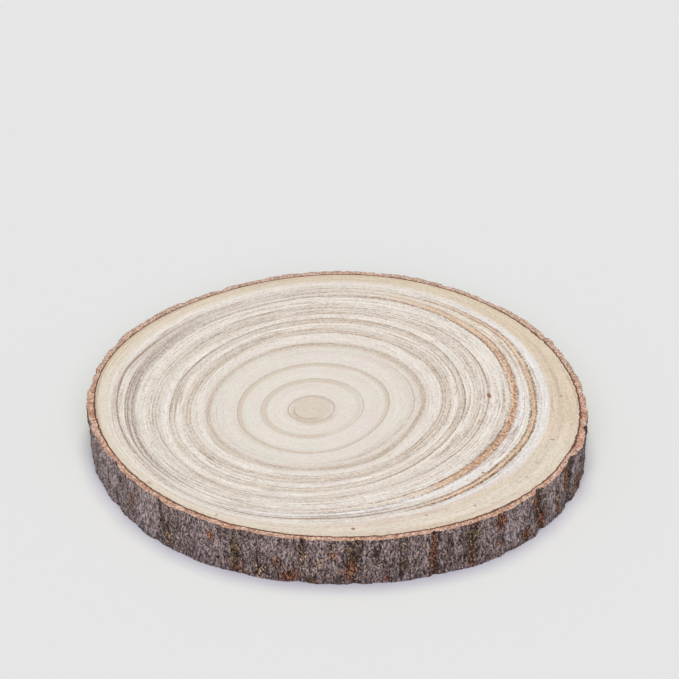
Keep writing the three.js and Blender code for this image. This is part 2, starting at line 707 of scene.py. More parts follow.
@dataclass(frozen=True)
class Mark:
    """A small brown mark in the wood: where it lies, and its size round and outwards."""

    angle: float
    age: float
    size_round: float
    size_out: float
    strength: float = 0.7


@dataclass(frozen=True)
class SawnFinish:
    """The dry, sawn end grain, with its growth rings, pores and marks.

    Its patterns run along the rings. They are calm near the pith and coarser further out, but
    for the outermost wood.
    """

    trunk: Trunk
    roughness: float = 0.82
    shine: float = 0.25
    relief: float = 0.10
    slow_drift: Cloud = Cloud(0.03)
    slow_drift_by: float = 1.2
    quick_drift: Cloud = Cloud(0.22)
    quick_drift_by: float = 0.5
    grain_drift_by: float = 0.8
    clouds: Cloud = Cloud(0.05, 3.0)
    tints: tuple[tuple[Tone, Cloud, Rise], ...] = (
        (Tone.GREEN, Cloud(0.10, 1.0), Rise(0.48, 0.68, 0.35)),
        (Tone.PINK, Cloud(0.085, 1.0), Rise(0.48, 0.68, 0.32)),
    )
    grains: Cloud = Cloud(1.40, 2.0, 0.6, squeeze=0.50)
    dots: Cloud = Cloud(1.70, squeeze=0.50)
    streaks: Cloud = Cloud(0.45, 3.0, 0.6, squeeze=0.03)
    lines: Cloud = Cloud(0.40, 1.0, squeeze=0.022)
    hairs: Cloud = Cloud(0.90, 1.0, squeeze=0.045)
    coarse: Rise = Rise(38.0, 74.0)
    calm_rim: Rise = Rise(113.0, 109.0, 0.5)
    calm_rim_least: float = 0.5
    dot_gaps: Rise = Rise(0.25, 0.75)
    dot_gap_share: float = 0.6
    streak_gaps: Rise = Rise(0.60, 0.38, 0.5)
    warm_side: Rise = Rise(-0.5, 0.6)
    line_edge: Rise = Rise(0.05, 0.0, 0.66)
    hair_edge: Rise = Rise(0.055, 0.0, 0.48)
    line_gap_share: float = 0.85
    streak_change: float = 0.12
    hair_change: Amount = Amount(0.08, 0.08)
    grain_change: Amount = Amount(0.16, 0.04)
    dot_change: Amount = Amount(0.10, 0.06)
    dark_dots: Rise = Rise(0.86, 0.94)
    dark_dot_strength: Amount = Amount(0.06, 0.20)
    line_relief: float = 0.6
    dot_relief: float = 0.4
    mark_colour: Colour = (146, 98, 62)
    mark_edge: Rise = Rise(1.8, 0.1)
    upper_face: Rise = Rise(10.0, 14.0)
    rings: tuple[Ring, ...] = (
        Ring(88.0, 56.0, 16.0, Tone.PALE, 0.85),
        Ring(5.0, 11.0, 2.0, Tone.PITH, 0.75),
        Ring(10.0, 2.6, 0.8, Tone.TAN, 0.60, -110, 52, 0.1),
        Ring(8.6, 0.6, 0.4, Tone.BROWN, 0.45, -128, 58, 0.1),
        Ring(11.9, 1.0, 0.7, Tone.BROWN, 0.42, 0, 200, 0.1),
        Ring(10.9, 1.0, 0.7, Tone.BROWN, 0.30, 90, 60),
        Ring(13.6, 3.0, 1.6, Tone.TAN, 0.55, -68, 46),
        Ring(16.5, 4.0, 1.6, Tone.LIGHT, 0.50, -170, 110),
        Ring(25.0, 3.0, 1.3, Tone.TAN, 0.28),
        Ring(25.0, 3.0, 1.1, Tone.TAN, 0.42, 170, 120),
        Ring(26.8, 0.6, 0.4, Tone.BROWN, 0.34),
        Ring(29.6, 3.4, 1.6, Tone.LIGHT, 0.45),
        Ring(38.8, 2.2, 1.2, Tone.TAN, 0.55),
        Ring(37.6, 2.0, 1.0, Tone.TAN, 0.40, 135, 70),
        Ring(41.2, 1.8, 0.9, Tone.TAN, 0.50, -135, 24),
        Ring(39.6, 0.6, 0.3, Tone.BROWN, 0.45, 0, 200, 0.5),
        Ring(45.2, 5.0, 2.0, Tone.LIGHT, 0.45),
        Ring(50.0, 2.6, 1.6, Tone.TAN, 0.25, -15, 75, 0.5),
        Ring(51.2, 0.8, 0.4, Tone.BROWN, 0.55, -15, 60, 0.85),
        Ring(55.4, 3.8, 1.4, Tone.TAN, 0.40),
        Ring(55.8, 2.6, 1.2, Tone.BROWN, 0.34, 0, 200, 0.9),
        Ring(61.6, 3.8, 1.6, Tone.PALE, 0.50),
        Ring(58.0, 2.2, 1.0, Tone.TAN, 0.65, -135, 24),
        Ring(64.2, 2.4, 1.2, Tone.TAN, 0.55, 135, 26),
        Ring(66.4, 3.2, 1.2, Tone.TAN, 0.42),
        Ring(69.4, 1.8, 1.0, Tone.TAN, 0.44),
        Ring(72.5, 2.4, 1.2, Tone.PALE, 0.75),
        Ring(75.0, 1.8, 0.9, Tone.TAN, 0.36),
        Ring(77.4, 2.0, 1.0, Tone.TAN, 0.52),
        Ring(80.3, 2.4, 1.2, Tone.PALE, 0.75),
        Ring(84.0, 3.0, 1.4, Tone.TAN, 0.24),
        Ring(87.4, 2.6, 1.4, Tone.TAN, 0.22),
        Ring(91.8, 3.2, 1.6, Tone.PALE, 0.60),
        Ring(65.8, 0.7, 0.4, Tone.BROWN, 0.59, 0, 200, 0.85),
        Ring(67.2, 0.7, 0.4, Tone.BROWN, 0.59, 0, 200, 0.85),
        Ring(68.6, 0.6, 0.4, Tone.BROWN, 0.44, 20, 120, 0.85),
        Ring(69.9, 0.7, 0.4, Tone.BROWN, 0.63, -45, 105, 0.85),
        Ring(74.8, 0.7, 0.4, Tone.BROWN, 0.46, 0, 200, 0.85),
        Ring(76.4, 0.6, 0.4, Tone.BROWN, 0.32, -20, 140, 0.85),
        Ring(78.0, 0.9, 0.4, Tone.DARK, 0.66, 60, 128, 0.6),
        Ring(82.3, 0.7, 0.4, Tone.BROWN, 0.42, 60, 95, 0.85),
        Ring(83.6, 0.7, 0.4, Tone.BROWN, 0.42, 60, 95, 0.85),
        Ring(85.1, 0.7, 0.4, Tone.BROWN, 0.40, 0, 200, 0.85),
        Ring(86.6, 0.7, 0.4, Tone.BROWN, 0.41, 0, 200, 0.85),
        Ring(88.5, 0.8, 0.4, Tone.BROWN, 0.50, 0, 200, 0.85),
        Ring(88.3, 0.6, 0.3, Tone.DARK, 0.45, 0, 45, 0.6),
        Ring(90.0, 0.7, 0.4, Tone.BROWN, 0.55, 105, 50, 0.85),
        Ring(93.2, 0.7, 0.4, Tone.BROWN, 0.43, -140, 35, 0.85),
        Ring(95.4, 0.9, 0.5, Tone.PURPLE, 0.42, -145, 32, 0.6),
        Ring(96.8, 1.0, 0.6, Tone.PURPLE, 0.30, 178, 26, 0.7),
        Ring(100.1, 3.8, 0.8, Tone.ORANGE, 0.66, 8, 60, 0.20),
        Ring(99.4, 2.6, 1.2, Tone.ORANGE, 0.20, -68, 42, 0.30),
        Ring(100.1, 3.4, 0.8, Tone.RUST, 1.0, -2, 38, 1.35),
        Ring(99.8, 3.4, 1.2, Tone.ROSE, 0.14, 88, 34, 0.25),
        Ring(99.2, 6.0, 2.4, Tone.GREY, 0.85, 178, 46, 0.7),
        Ring(99.6, 5.0, 1.6, Tone.GREY, 0.55, 140, 30, 0.6),
        Ring(98.0, 1.0, 0.3, Tone.DARK, 0.88, -20, 78, 0.90),
        Ring(98.0, 0.9, 0.3, Tone.DARK, 0.52, 160, 102, 0.80),
        Ring(101.6, 1.1, 0.3, Tone.DARK, 1.0, -10, 110, 0.90),
        Ring(100.4, 0.9, 0.4, Tone.PURPLE, 0.60, 180, 50, 0.60),
        Ring(102.1, 0.9, 0.4, Tone.DARK, 0.60, 118, 75, 0.60),
        Ring(103.0, 3.2, 1.4, Tone.WHITE, 0.70, -42, 66),
        Ring(104.8, 1.0, 0.5, Tone.PURPLE, 0.60, -84, 20, 0.60),
        Ring(104.4, 3.0, 1.2, Tone.GREY, 0.40, 118, 40, 0.4),
        Ring(106.2, 1.4, 0.8, Tone.GREY, 0.50, 135, 28, 0.3),
        Ring(108.0, 2.4, 0.6, Tone.ORANGE, 0.70, 0, 56, 0.20),
        Ring(107.0, 1.0, 0.4, Tone.DARK, 0.80, -105, 75, 0.60),
        Ring(106.9, 1.0, 0.3, Tone.DARK, 1.0, 12, 56, 0.75),
        Ring(109.1, 1.1, 0.3, Tone.DARK, 1.0, -4, 56, 0.85),
        Ring(110.6, 0.6, 0.3, Tone.GREY, 0.70, -15, 26, 0.5),
        Ring(109.4, 2.6, 1.4, Tone.ROSE, 0.36, -165, 36, 0.3),
        Ring(108.8, 2.6, 1.4, Tone.GREY, 0.18, 72, 34, 0.4),
        Ring(107.4, 2.0, 1.0, Tone.RUST, 0.34, 170, 30, 0.6),
        Ring(107.2, 1.1, 0.5, Tone.DARK, 0.75, 172, 30, 0.45),
        Ring(106.9, 0.8, 0.4, Tone.BROWN, 0.72, 100, 52, 0.85),
        Ring(108.6, 2.6, 1.4, Tone.ASH, 0.36, 130, 44, 0.3),
        Ring(106.2, 2.4, 1.2, Tone.GREY, 0.36, -112, 62, 0.7),
        Ring(104.2, 5.0, 1.8, Tone.CREAM, 0.66, 50, 32),
        Ring(90.1, 1.6, 0.8, Tone.TAN, 0.36, -115, 100, 0.5),
        Ring(107.8, 1.8, 0.9, Tone.BROWN, 0.34, -88, 24, 0.6),
        Ring(111.9, 3.4, 1.2, Tone.WHITE, 0.72, -2, 58, 0.15),
        Ring(111.6, 2.2, 1.4, Tone.PALE, 0.66, 150, 90),
        Ring(113.4, 3.4, 1.4, Tone.ROSE, 0.62, -52, 22, 0.15),
        Ring(115.2, 2.6, 1.2, Tone.ROSE, 0.62, 0, 50, 0.15),
        Ring(114.2, 5.0, 2.2, Tone.ROSE, 0.22, -90, 50, 0.15),
        Ring(117.0, 1.0, 0.6, Tone.ROSE, 0.45, 12, 40, 0.2),
        Ring(117.6, 8.4, 2.4, Tone.CREAM, 0.66),
        Ring(118.8, 7.0, 3.0, Tone.STRAW, 0.55, 75, 85, 0.15),
        Ring(117.8, 1.6, 0.8, Tone.TAN, 0.40, 0, 36, 0.3),
        Ring(117.0, 1.2, 0.7, Tone.LIGHT, 0.50, 150, 30),
        Ring(121.6, 2.0, 1.2, Tone.STRAW, 0.50),
        Ring(121.4, 2.2, 1.4, Tone.STRAW, 0.55, 110, 80, 0.2),
        Ring(121.8, 1.4, 0.8, Tone.TAN, 0.60, 130, 62, 0.2),
    )
    marks: tuple[Mark, ...] = (
        Mark(8.0, 88.5, 5.0, 2.2, 0.95),
        Mark(-34.0, 105.7, 1.4, 2.0, 0.85),
        Mark(-78.7, 116.8, 2.0, 2.0, 0.85),
        Mark(-59.0, 114.8, 1.4, 1.8, 0.5),
        Mark(-47.0, 118.0, 1.4, 1.6, 0.6),
        Mark(-30.0, 118.4, 1.2, 1.6, 0.5),
        Mark(-23.5, 117.0, 1.2, 2.2, 0.5),
        Mark(-13.0, 117.0, 1.3, 2.8, 0.6),
        Mark(5.5, 117.6, 1.3, 2.2, 0.6),
        Mark(-115.5, 117.6, 1.4, 3.0, 0.4),
        Mark(-140.0, 118.0, 3.4, 3.0, 0.3),
    )

    def material(self) -> bpy.types.Material:
        """Makes the shader of the sawn wood.

        Returns:
            The material.
        """
        graph = Shader("sawn_wood")
        place = graph.place()
        age = graph.attribute("ring_age")
        from_pith = graph.vector("SUBTRACT", place, (*self.trunk.pith_place(), 0.0)).outputs[0]
        way = graph.vector("NORMALIZE", graph.scaled(from_pith, 1.0, 1.0, 0.0)).outputs[0]

        drift = graph.stray(age, graph.noise(place, self.slow_drift), self.slow_drift_by)
        drift = graph.stray(drift, graph.noise(place, self.quick_drift), self.quick_drift_by)
        grains, streaks, lines, hairs = [
            graph.noise(self.along_rings(graph, place, drift, cloud), cloud)
            for cloud in (self.grains, self.streaks, self.lines, self.hairs)
        ]
        first, second, third = graph.chance(self.along_rings(graph, place, drift, self.dots), self.dots)
        calm_rim = graph.math("ADD", graph.rise(age, self.calm_rim), self.calm_rim_least)
        coarse = graph.math("MULTIPLY", graph.rise(age, self.coarse), calm_rim)
        pores = graph.math("MULTIPLY_ADD", graph.rise(third, self.dot_gaps), self.dot_gap_share,
                           graph.rise(streaks, self.streak_gaps))
        drift = graph.stray(drift, grains, self.grain_drift_by)

        clouds = graph.noise(place, self.clouds)
        colour = graph.mix(clouds, linear(Tone.BASE.value), linear(Tone.LIGHT.value))
        for tone, cloud, share in self.tints:
            there = graph.rise(graph.noise(place, cloud), share)
            colour = graph.mix(there, colour, linear(tone.value))
        colour = self.lay_rings(graph, colour, drift, way, pores)

        warm = graph.rise(graph.parts(way)[0], self.warm_side)
        line_tone = graph.mix(warm, linear(Tone.DUSK.value), linear(Tone.BROWN.value))
        unbroken = graph.math("MULTIPLY_ADD", pores, -self.line_gap_share, 1.0)
        for pattern, edge in ((lines, self.line_edge), (hairs, self.hair_edge)):
            crossing = graph.math("ABSOLUTE", graph.math("SUBTRACT", pattern, 0.5))
            line = graph.math("MULTIPLY", graph.rise(crossing, edge), coarse)
            colour = graph.mix(graph.math("MULTIPLY", line, unbroken), colour, line_tone)

        colour = graph.vary(
            colour,
            (streaks, self.streak_change),
            (hairs, graph.amount(coarse, self.hair_change)),
            (grains, graph.amount(coarse, self.grain_change)),
            (first, graph.amount(coarse, self.dot_change)),
        )
        strength = graph.amount(coarse, self.dark_dot_strength)
        dots = graph.math("MULTIPLY", graph.rise(second, self.dark_dots), strength)
        colour = graph.mix(dots, colour, line_tone)
        for mark in self.marks:
            colour = self.lay_mark(graph, colour, from_pith, mark)

        height = graph.math("MULTIPLY_ADD", lines, self.line_relief, grains)
        height = graph.math("MULTIPLY_ADD", first, self.dot_relief, height)
        return graph.finish(colour, height, self.relief, self.roughness, self.shine)

    @staticmethod
    def along_rings(graph: Shader, place: Socket, age: Socket, cloud: Cloud) -> Socket:
        """Stretches the place so that a pattern runs along the rings.

        Args:
            graph: The shader.
            place: The place, in millimetres.
            age: The ring's age there.
            cloud: The pattern. Its squeeze is along the rings, against 1 across them.

        Returns:
            The stretched place.
        """
        across = graph.add("ShaderNodeCombineXYZ", {2: age}).outputs[0]
        along = graph.scaled(place, cloud.squeeze, cloud.squeeze, cloud.squeeze)
        return graph.vector("ADD", along, across).outputs[0]

    def lay_rings(self, graph: Shader, colour: Socket, age: Socket, way: Socket, pores: Socket) -> Socket:
        """Lays the growth rings over the colour, one by one.

        Args:
            graph: The shader.
            colour: The colour so far.
            age: The ring's age there.
            way: The way out from the pith.
            pores: Where the pores break the rings.

        Returns:
            The colour with the rings.
        """
        group = ring_group()
        for ring in self.rings:
            turn = math.radians(ring.facing)
            all_round = ring.reach >= HALF_TURN
            colour = graph.add("ShaderNodeGroup", {
                "Colour": colour,
                "Age": age,
                "Way": way,
                "Pores": pores,
                "Ring Age": ring.age,
                "Inner": max(ring.width / 2.0 - ring.softness / 2.0, 0.0),
                "Outer": ring.width / 2.0 + ring.softness / 2.0,
                "Tone": linear(ring.tone.value),
                "Strength": ring.strength,
                "Facing": (math.cos(turn), math.sin(turn), 0.0),
                "Side": ANY_SIDE if all_round else math.cos(math.radians(ring.reach)),
                "Broken": ring.broken,
            }, node_tree=group).outputs[0]
        return colour

    def lay_mark(self, graph: Shader, colour: Socket, from_pith: Socket, mark: Mark) -> Socket:
        """Lays one small brown mark over the colour, on the upper face only.

        Args:
            graph: The shader.
            colour: The colour so far.
            from_pith: The place, counted from the pith.
            mark: The mark.

        Returns:
            The colour with the mark.
        """
        turn = math.radians(mark.angle)
        reach = float(self.trunk.ring_radius(np.array([mark.age]), np.array([mark.angle]))[0])
        out = (math.cos(turn), math.sin(turn), 0.0)
        side = (-math.sin(turn), math.cos(turn), 0.0)
        far = graph.vector("DOT_PRODUCT", from_pith, out).outputs["Value"]
        across = graph.vector("DOT_PRODUCT", from_pith, side).outputs["Value"]
        far = graph.math("DIVIDE", graph.math("SUBTRACT", far, reach), mark.size_out / 2.0)
        across = graph.math("DIVIDE", across, mark.size_round / 2.0)
        away = graph.math("ADD", graph.math("MULTIPLY", far, far), graph.math("MULTIPLY", across, across))
        spot = graph.step(away, self.mark_edge.low, self.mark_edge.high, mark.strength)
        upper = graph.rise(graph.parts(from_pith)[2], self.upper_face)
        return graph.mix(graph.math("MULTIPLY", spot, upper), colour, linear(self.mark_colour))


class Patch(Enum):
    """What colours a patch of bark."""

    SHADE = "shade"
    MOSS = "moss"
    RUST = "rust"
    LICHEN = "lichen"
    # Pale patches: partly paler bark, partly painted light on the wall's left side.
    PALE = "pale"

    @property
    def crumbs(self) -> str:
        """Names the attribute that says how thickly its crumbs lie."""
        return self.value + "_here"


CRUMBLY = (Patch.MOSS, Patch.RUST, Patch.LICHEN)


@dataclass(frozen=True)
class BarkPatch:
    """A patch of colour on the bark: where it is, how wide and how tall."""

    at: float
    height: float
    width: float
    tall: float
    kind: Patch
    strength: float


@dataclass(frozen=True)
class WeatheredFinish:
    """The weathered outside of the bark, grey and stringy, with its stains, pits and glints."""

    roughness: float = 0.92
    shine: float = 0.2
    relief: float = 0.5
    dark: Colour = (98, 82, 78)
    pale: Colour = (158, 142, 136)
    # The pale patches' colour: partly paler bark, partly painted light on the wall's sides.
    bleached_and_lit: Colour = (188, 173, 168)
    glint: Colour = (212, 198, 186)
    # The colour of the furrows and cracks: partly their darker bark, partly painted shade. It also paints
    # the shade at the foot.
    cleft_and_shade: Colour = (60, 46, 40)
    pit: Colour = (38, 29, 25)
    brown: Colour = (128, 104, 86)
    shade: Colour = (96, 78, 66)
    moss: Colour = (104, 92, 62)
    rust: Colour = (158, 102, 72)
    lichen: Colour = (198, 166, 126)
    plates: Cloud = Cloud(0.22, 3.0, 0.6, squeeze=0.35)
    fibres: Cloud = Cloud(0.85, 4.0, 0.7, squeeze=0.24)
    grains: Cloud = Cloud(1.7, 2.0, 0.75)
    specks: Cloud = Cloud(3.0, 1.0, 0.6)
    flecks: Cloud = Cloud(1.8, squeeze=0.55)
    fibres_in_plates: float = 1.2
    dark_to_pale: Rise = Rise(0.28, 0.72)
    brown_clouds: Cloud = Cloud(0.22, 3.0)
    brown_share: Rise = Rise(0.46, 0.66, 0.35)
    ragged_cleft: float = 1.1
    # Painted shade in the furrows and cracks, by their depth.
    furrow_shade_share: Rise = Rise(0.35, 1.00, 0.85)
    # Painted shade towards the lower face, where the wall meets the floor.
    painted_foot_shade: Rise = Rise(11.0, 0.0, 0.30)
    ragged_patch: float = 1.3
    patch_ground: Rise = Rise(0.15, 0.65)
    patch_ground_share: float = 0.72
    patch_flecks: float = 0.85
    patch_hue: Rise = Rise(-0.05, 0.15, 0.88)
    fleck_change: Amount = Amount(1.4, 0.5)
    grain_change: float = 1.3
    speck_change: float = 1.4
    fibre_change: float = 3.0
    glints: Rise = Rise(0.90, 0.94)
    glint_strength: Amount = Amount(0.50, 0.10)
    pits: Rise = Rise(0.80, 0.86)
    pit_strength: Amount = Amount(0.65, 0.20)
    fibre_relief: float = 0.6
    grain_relief: float = 0.9
    fleck_relief: float = 0.5

    def material(self) -> bpy.types.Material:
        """Makes the shader of the outside of the bark.

        Returns:
            The material.
        """
        graph = Shader("weathered_bark")
        place = graph.place()
        furrow = graph.attribute("furrow")

        plates = graph.noise(self.upright(graph, place, self.plates), self.plates)
        fibres = graph.noise(self.upright(graph, place, self.fibres), self.fibres)
        grains = graph.noise(place, self.grains)
        specks = graph.noise(place, self.specks)
        first, second, third = graph.chance(self.upright(graph, place, self.flecks), self.flecks)

        tone = graph.rise(graph.stray(plates, fibres, self.fibres_in_plates), self.dark_to_pale)
        colour = graph.mix(tone, linear(self.dark), linear(self.pale))
        # Pale patches: partly paler bark, partly painted light, which lightens the wall's left side most.
        colour = graph.mix(graph.attribute(Patch.PALE.value), colour, linear(self.bleached_and_lit))
        brown = graph.rise(graph.noise(place, self.brown_clouds), self.brown_share)
        colour = graph.mix(brown, colour, linear(self.brown))
        # Painted shade: the deeper in a furrow or crack, the darker, over the darker bark inside them.
        depth = graph.stray(furrow, grains, self.ragged_cleft)
        colour = graph.mix(graph.rise(depth, self.furrow_shade_share), colour, linear(self.cleft_and_shade))
        # Painted shade: the wall darkens towards its lower face, where it meets the floor.
        foot = graph.rise(graph.parts(place)[2], self.painted_foot_shade)
        colour = graph.mix(foot, colour, linear(self.cleft_and_shade))

        ragged = graph.math("MULTIPLY", graph.math("SUBTRACT", grains, 0.5), self.ragged_patch)
        stained: object = 0.0
        for kind, hue, chance in (
            (Patch.SHADE, self.shade, first),
            (Patch.MOSS, self.moss, third),
            (Patch.RUST, self.rust, second),
            (Patch.LICHEN, self.lichen, third),
        ):
            there = graph.math("ADD", graph.attribute(kind.value), ragged)
            ground = graph.rise(there, self.patch_ground)
            stained = graph.math("MAXIMUM", stained, ground)
            sunk = graph.math("MULTIPLY", ground, self.patch_ground_share)
            colour = graph.mix(sunk, colour, linear(self.pit))
            shown = graph.math("SUBTRACT", graph.math("MULTIPLY", there, self.patch_flecks), chance)
            colour = graph.mix(graph.rise(shown, self.patch_hue), colour, linear(hue))

        colour = graph.vary(
            colour,
            (first, graph.amount(stained, self.fleck_change)),
            (grains, self.grain_change),
            (specks, self.speck_change),
            (fibres, self.fibre_change),
        )
        strength = graph.amount(stained, self.glint_strength)
        glints = graph.math("MULTIPLY", graph.rise(second, self.glints), strength)
        colour = graph.mix(glints, colour, graph.mix(stained, linear(self.glint), linear(self.lichen)))
        strength = graph.amount(stained, self.pit_strength)
        pits = graph.math("MULTIPLY", graph.rise(third, self.pits), strength)
        colour = graph.mix(pits, colour, linear(self.pit))

        height = graph.math("MULTIPLY", grains, self.grain_relief)
        height = graph.math("MULTIPLY_ADD", fibres, self.fibre_relief, height)
        height = graph.math("MULTIPLY_ADD", first, self.fleck_relief, height)
        return graph.finish(colour, height, self.relief, self.roughness, self.shine)

    @staticmethod
    def upright(graph: Shader, place: Socket, cloud: Cloud) -> Socket:
        """Stretches the place so that a pattern runs up the trunk, by its squeeze."""
        return graph.scaled(place, 1.0, 1.0, cloud.squeeze)


@dataclass(frozen=True)
class RindFinish:
    """The bark where the saw cut it: a dark seam, pinkish flesh and a darker skin."""

    roughness: float = 0.85
    shine: float = 0.2
    relief: float = 0.12
    seam: Colour = (100, 60, 44)
    sapwood: Colour = (234, 216, 196)
    inner: Colour = (184, 136, 112)
    flesh: Colour = (205, 170, 152)
    faded: Colour = (196, 172, 158)
    pale: Colour = (234, 204, 182)
    burnt: Colour = (150, 108, 88)
    skin: Colour = (112, 94, 86)
    clouds: Cloud = Cloud(0.30)
    grains: Cloud = Cloud(1.1, 2.0, 0.7)
    flecks: Cloud = Cloud(1.3)
    cloud_wander: float = 0.35
    grain_wander: float = 0.25
    back_wander: float = 0.0007
    right_wander: float = -0.0004
    inner_to_flesh: Rise = Rise(0.38, 0.62)
    faded_back: Rise = Rise(-30.0, 70.0, 0.65)
    pale_flecks: Rise = Rise(0.66, 0.80, 0.7)
    burnt_flecks: Rise = Rise(0.70, 0.84, 0.7)
    fleck_change: float = 0.6
    grain_change: float = 0.7
    seam_line: Rise = Rise(0.30, 0.19, 0.92)
    sapwood_line: Rise = Rise(0.06, -0.02)
    ragged_skin: float = 0.25
    skin_line: Rise = Rise(1.0, 1.16, 0.7)

    def material(self) -> bpy.types.Material:
        """Makes the shader of the cut bark.

        Returns:
            The material.
        """
        graph = Shader("cut_bark")
        place = graph.place()
        clouds = graph.noise(place, self.clouds)
        grains = graph.noise(place, self.grains)
        first, second, third = graph.chance(place, self.flecks)
        across, along, _ = graph.parts(place)
        wander = graph.stray(graph.attribute("outward"), clouds, self.cloud_wander)
        wander = graph.stray(wander, grains, self.grain_wander)
        wander = graph.math("MULTIPLY_ADD", along, self.back_wander, wander)
        wander = graph.math("MULTIPLY_ADD", across, self.right_wander, wander)
        colour = graph.mix(graph.rise(clouds, self.inner_to_flesh), linear(self.inner), linear(self.flesh))
        for value, share, hue in (
            (along, self.faded_back, self.faded),
            (second, self.pale_flecks, self.pale),
            (third, self.burnt_flecks, self.burnt),
        ):
            colour = graph.mix(graph.rise(value, share), colour, linear(hue))
        colour = graph.vary(colour, (first, self.fleck_change), (grains, self.grain_change))
        for value, share, hue in (
            (wander, self.seam_line, self.seam),
            (wander, self.sapwood_line, self.sapwood),
            (graph.stray(wander, first, self.ragged_skin), self.skin_line, self.skin),
        ):
            colour = graph.mix(graph.rise(value, share), colour, linear(hue))
        return graph.finish(colour, grains, self.relief, self.roughness, self.shine)


def closed_mesh(name: str, points: Array, faces: Array) -> bpy.types.Mesh:
    """Makes a mesh of four-sided faces, in metres.

    Args:
        name: Its name.
        points: Its vertices, in millimetres.
        faces: The four corners of each face. A face with a corner repeated has three sides.

    Returns:
        The mesh.
    """
    mesh = bpy.data.meshes.new(name)
    sides = [list(dict.fromkeys(face)) for face in faces.tolist()]
    mesh.from_pydata((points * MM).tolist(), [], sides)
    mesh.validate()
    mesh.update()
    return mesh


def hold(mesh: bpy.types.Mesh, name: str, values: Array) -> None:
    """Gives the mesh a named number at each vertex, which a shader can read."""
    kept = mesh.attributes.new(name, "FLOAT", "POINT")
    kept.data.foreach_set("value", np.ascontiguousarray(values, dtype=np.float32))


def band(upper: int, lower: int, columns: int) -> Array:
    """Joins two rows of points that run all the way round.

    Args:
        upper: The number of the first row.
        lower: The number of the second row.
        columns: How many points each row has.

    Returns:
        The four corners of each face between them.
    """
    here = np.arange(columns)
    after = (here + 1) % columns
    first, second = upper * columns, lower * columns
    return np.stack([first + here, second + here, second + after, first + after], 1)


